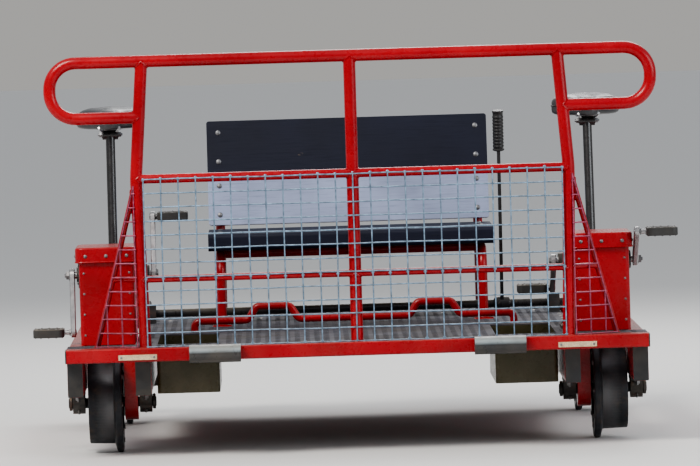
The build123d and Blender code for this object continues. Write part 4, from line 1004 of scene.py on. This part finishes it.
def deck_screws():
    """Countersunk screw heads along the deck sheets' edges, ends and joint."""
    low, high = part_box("deck_plate")
    row_x, row_pitch, across_pitch, from_end, from_joint = 0.628, 0.125, 0.14, 0.012, 0.015
    spots = []
    y = low.y + 0.14
    while y < high.y:
        under_case = CRANK.y - 0.12 < y < CRANK.y + 0.10
        if not under_case and abs(y - BRAKE.y) > 0.05:
            spots += [(-row_x, y), (row_x, y)]
        y += row_pitch
    for x in [i * across_pitch for i in range(-4, 5)]:
        spots += [(x, low.y + from_end), (x, high.y - from_end)]
        if abs(abs(x) - BENCH_LEG_X) > 0.04:
            spots += [(x, DECK_JOINT_Y - from_joint), (x, DECK_JOINT_Y + from_joint)]
    shape = Shape()
    for x, y in spots:
        shape.dome((x, y, DECK - 0.0002), UP, *DECK_SCREW)
    shape.piece("deck_screws", "bolt_steel")


def around(x, y, reach):
    """A square kept free of lozenges: its limits across and along."""
    return (x - reach, x + reach, y - reach, y + reach)


def tread_plate():
    """The deck's raised lozenges, clear of the wells and of whatever stands on the sheets."""
    shape = Shape()
    low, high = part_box("deck_plate")
    beam_x = (0.588, 0.641)
    kept_clear = [
        (TRAY[0].x + 0.008, TRAY[1].x - 0.004, TRAY[0].y + 0.008, TRAY[1].y - 0.008),
        (*beam_x, CRANK.y - 0.085, CRANK.y + 0.085),
        (*beam_x, BRAKE.y - 0.045, BRAKE.y + 0.045),
        around(BENCH_LEG_X, BENCH_LEG_Y, 0.042),
        around(BENCH_LEG_X, BACK_POST_Y, 0.042),
        around(FOOT_REST_X, FOOT_REST_Y, 0.028),
        around(WING_FOOT.x, WING_FOOT.y, 0.024),
    ]
    step = 0.0285
    front_strip, rear_strip = low.y + 0.112, high.y - 0.062
    sheet_reach, strip_reach = INNER_BEAM[1].x - 0.022, high.x - 0.016
    columns = int(high.x / step)
    rows = int((high.y - low.y) / step)
    for i in range(-columns, columns + 1):
        for j in range(rows + 1):
            x, y = i * step, low.y + 0.022 + j * step
            reach = sheet_reach if front_strip < y < rear_strip else strip_reach
            inside = abs(x) < reach and y < high.y - 0.014
            clear = all(not (a < abs(x) < b and c < y < d) for a, b, c, d in kept_clear)
            if inside and clear and abs(y - DECK_JOINT_Y) > 0.016:
                lozenge(shape, x, y, 45 if (i + j) % 2 else -45)
    shape.piece("deck_lozenges", "deck_metal", slot="deck_metal", smooth=30)


def lozenge(shape, x, y, angle):
    """One raised lozenge of the tread plate."""
    turn = Matrix.Rotation(math.radians(angle), 3, "Z")
    half, shoulder, width = 0.0125, 0.0055, 0.0036
    lower = ((-half, 0), (-shoulder, -width), (shoulder, -width))
    upper = ((half, 0), (shoulder, width), (-shoulder, width))
    rings = []
    for height, size in ((-0.0003, 1.0), (0.0009, 0.82), (0.0013, 0.55)):
        middle = Vector((x, y, DECK + height))
        rings.append([middle + turn @ Vector((a * size, b * size, 0)) for a, b in lower + upper])
    shape.loft(rings)


def tray_fittings():
    """Rivets along the trays' rims, seen from below, and a drain plug in each floor."""
    shape = Shape()
    low, high = TRAY
    for side in BOTH:
        y = low.y + 0.03
        while y < high.y - 0.02:
            shape.dome(((low.x + 0.008) * side, y, high.z - 0.003), -UP, *TRAY_RIVET)
            y += 0.09
        rows = ((0, 0.014), (0.002, 0.014), (0.003, 0.012))
        shape.turned(((low.x + high.x) / 2 * side, high.y - 0.07, low.z), -UP, rows, 20)
    shape.piece("tray_rivets", "bolt_steel")


def reflector_screws():
    """A small screw at each end of both strips."""
    shape = Shape()
    low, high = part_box("reflectors")
    for side in BOTH:
        for x in (high.x - 0.102, high.x - 0.008):
            shape.dome((x * side, low.y, (low.z + high.z) / 2), (0, -1, 0), *STRIP_SCREW)
    shape.piece("reflector_screws", "bolt_steel")


# Saddles

SADDLE_HALF = 0.1375
SADDLE_NOSE, SADDLE_BACK = 0.0295, 0.1005
SWELL_FRAMES = 20
SWELL_CAP = 0.0045


def saddle_half_width(y):
    """Half the saddle's width at a place along it; the nose is at negative y."""
    share = min(1, max(0, (y + 0.035) / 0.112))
    width = SADDLE_NOSE + (SADDLE_BACK - SADDLE_NOSE) * share * share * (3 - 2 * share)
    corner = 0.028
    into = SADDLE_HALF - abs(y)
    if into < corner:
        width += math.sqrt(max(0, corner ** 2 - (corner - into) ** 2)) - corner
    return max(width, 0.004)


def saddle_section(y, low_z, high_z):
    """The saddle's outline across at one place along it, as (x, z)."""
    width = saddle_half_width(y)
    dip = 0.006 * math.exp(-((y + 0.01) / 0.05) ** 2) + (0.004 if y < -0.05 else 0.0)
    edge = 0.018
    into = min(1, (SADDLE_HALF - abs(y)) / edge)
    round_off = math.sqrt(max(0.0, 1 - (1 - into) ** 2))
    top = low_z + 0.034 + (high_z - dip - low_z - 0.034) * (0.25 + 0.75 * round_off)
    bottom = low_z + 0.006 * (1 - round_off)
    middle = low_z + 0.026
    points = []
    for a in turns(36):
        c, s = math.cos(a), math.sin(a)
        x = width * math.copysign(abs(c) ** 0.42, c)
        rise = (top - middle) if s > 0 else (middle - bottom)
        power = 0.62 if s > 0 else 0.30
        points.append((x, middle + rise * math.copysign(abs(s) ** power, s)))
    return points


def keep_result(piece):
    """Puts what a piece's modifiers make into its own mesh, and takes them off."""
    graph = bpy.context.evaluated_depsgraph_get()
    made = bpy.data.meshes.new_from_object(piece.evaluated_get(graph))
    piece.modifiers.clear()
    piece.data = made


def swell(pad, held):
    """Lets a pad's cover swell by cloth simulation, except where it is held, and keeps the result."""
    even = pad.modifiers.new("even", "REMESH")
    even.mode = "VOXEL"
    even.voxel_size = 0.004
    keep_result(pad)
    rest = [vertex.co.copy() for vertex in pad.data.vertices]
    group = pad.vertex_groups.new(name="held")
    group.add([i for i, place in enumerate(rest) if held(place)], 1.0, "REPLACE")
    cover = pad.modifiers.new("cover", "CLOTH")
    cover.settings.use_pressure = True
    cover.settings.uniform_pressure_force = 4.0
    cover.settings.effector_weights.gravity = 0.0
    cover.settings.vertex_group_mass = "held"
    for moment in range(1, SWELL_FRAMES + 1):
        bpy.context.scene.frame_set(moment)
    keep_result(pad)
    bpy.context.scene.frame_set(1)
    for vertex, start in zip(pad.data.vertices, rest):
        move = vertex.co - start
        if move.length > SWELL_CAP:
            vertex.co = start + move * (SWELL_CAP / move.length)
    pad.vertex_groups.clear()
    finer = pad.modifiers.new("finer", "SUBSURF")
    finer.levels = 1
    keep_result(pad)
    shade(pad, 60)


def saddles():
    """A padded vinyl saddle on each post: swelled between its base and the piping round its top panel."""
    for side_name, _ in SIDES:
        low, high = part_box(f"saddle_{side_name}")
        middle = (low + high) / 2
        pad, piping = Shape(), Shape()
        ends = (SADDLE_HALF - 0.0008, 0.1355, 0.132, 0.127, 0.121)
        stations = [-y for y in ends] + [-0.115 + i * 0.0115 for i in range(21)] + list(reversed(ends))
        rings = []
        for y in stations:
            section = saddle_section(y, low.z, high.z)
            rings.append([Vector((middle.x + x, middle.y + y, z)) for x, z in section])
        pad.loft(rings)
        seam_z = low.z + 0.029
        run = [y for y in stations if abs(y) < SADDLE_HALF - 0.002]
        edge = []
        for sign, y in [(1, y) for y in run] + [(-1, y) for y in reversed(run)]:
            reach = sign * (saddle_half_width(y) + 0.0004)
            edge.append(Vector((middle.x + reach, middle.y + y, seam_z)))
        piping.tube(edge, 0.0019, 8, closed=True)
        made = pad.piece(f"saddle_pad_{side_name}", "saddle_vinyl", slot="saddle_vinyl", smooth=60)
        base_top = low.z + 0.008
        swell(made, lambda place: place.z < base_top or abs(place.z - seam_z) < 0.0026)
        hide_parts(f"saddle_{side_name}")
        piping.piece(f"saddle_piping_{side_name}", "plug_black")


# Stage, light and camera

CAMERA_PLACE = Vector((-0.20, -19.9, 1.40))
CAMERA_AIM = Vector((-0.012, -0.9, 0.631))
CAMERA_ROLL = 1.7
FOCAL_PIXELS = 6638.52
FRAME_PIXELS = 700


def make_camera():
    data = bpy.data.cameras.new("camera")
    data.sensor_width = 36
    data.lens = FOCAL_PIXELS / FRAME_PIXELS * data.sensor_width
    data.clip_end = 200
    camera = placed("camera", data)
    look = (CAMERA_AIM - CAMERA_PLACE).to_track_quat("-Z", "Y")
    camera.rotation_mode = "QUATERNION"
    roll = Matrix.Rotation(math.radians(-CAMERA_ROLL), 4, "Z").to_quaternion()
    camera.rotation_quaternion = look @ roll
    camera.location = CAMERA_PLACE
    bpy.context.scene.camera = camera


def area_light(name, place, size, power, colour=(1, 1, 1)):
    data = bpy.data.lights.new(name, "AREA")
    data.shape = "RECTANGLE"
    data.size, data.size_y = size
    data.energy = power
    data.color = colour
    light = placed(name, data)
    light.location = place
    light.rotation_mode = "QUATERNION"
    light.rotation_quaternion = (Vector((0, 0, 0.5)) - Vector(place)).to_track_quat("-Z", "Y")


def make_stage():
    mesh = bpy.data.meshes.new("floor")
    size = 60
    corners = [(-size, -size, 0), (size, -size, 0), (size, size, 0), (-size, size, 0)]
    mesh.from_pydata(corners, [], [(0, 1, 2, 3)])
    floor = placed("floor", mesh)
    s = Shader("floor", roughness=0.95)
    s.out.inputs["Base Color"].default_value = (0.69, 0.68, 0.66, 1)
    mesh.materials.append(s.material)


def make_world():
    world = bpy.data.worlds.new("studio")
    bpy.context.scene.world = world
    world.use_nodes = True
    nodes, links = world.node_tree.nodes, world.node_tree.links
    coords = nodes.new("ShaderNodeTexCoord")
    split = nodes.new("ShaderNodeSeparateXYZ")
    ramp = nodes.new("ShaderNodeValToRGB")
    links.new(coords.outputs["Generated"], split.inputs[0])
    links.new(split.outputs["Z"], ramp.inputs["Fac"])
    links.new(ramp.outputs["Color"], nodes["Background"].inputs["Color"])
    ramp.color_ramp.elements[0].position = 0.0
    ramp.color_ramp.elements[0].color = (0.62, 0.61, 0.59, 1)
    ramp.color_ramp.elements[1].position = 0.6
    ramp.color_ramp.elements[1].color = (0.86, 0.9, 0.96, 1)
    nodes["Background"].inputs["Strength"].default_value = 0.6


def make_lights():
    area_light("key", (-3.2, -4.2, 5.2), (2.6, 2.6), 420, (1.0, 0.97, 0.92))
    area_light("fill", (4.8, -3.6, 2.4), (3.5, 2.5), 120, (0.92, 0.96, 1.0))
    area_light("back", (1.2, 4.6, 4.4), (4.0, 2.5), 200)


dress_cad_nodes()
mesh_front()
mesh_wings()
mesh_dots()
guard_welds()
frame_welds()
bench_welds()
bearing_fittings()
wheel_fittings()
crank_fittings()
pedal_fittings()
case_fittings()
beam_plugs()
bench_fittings()
brake_fittings()
saddle_clamps()
saddles()
deck_screws()
tread_plate()
tray_fittings()
reflector_screws()
make_stage()
make_world()
make_lights()
make_camera()
bpy.context.scene.view_settings.view_transform = "AgX"
bpy.context.scene.view_settings.look = "AgX - Medium High Contrast"
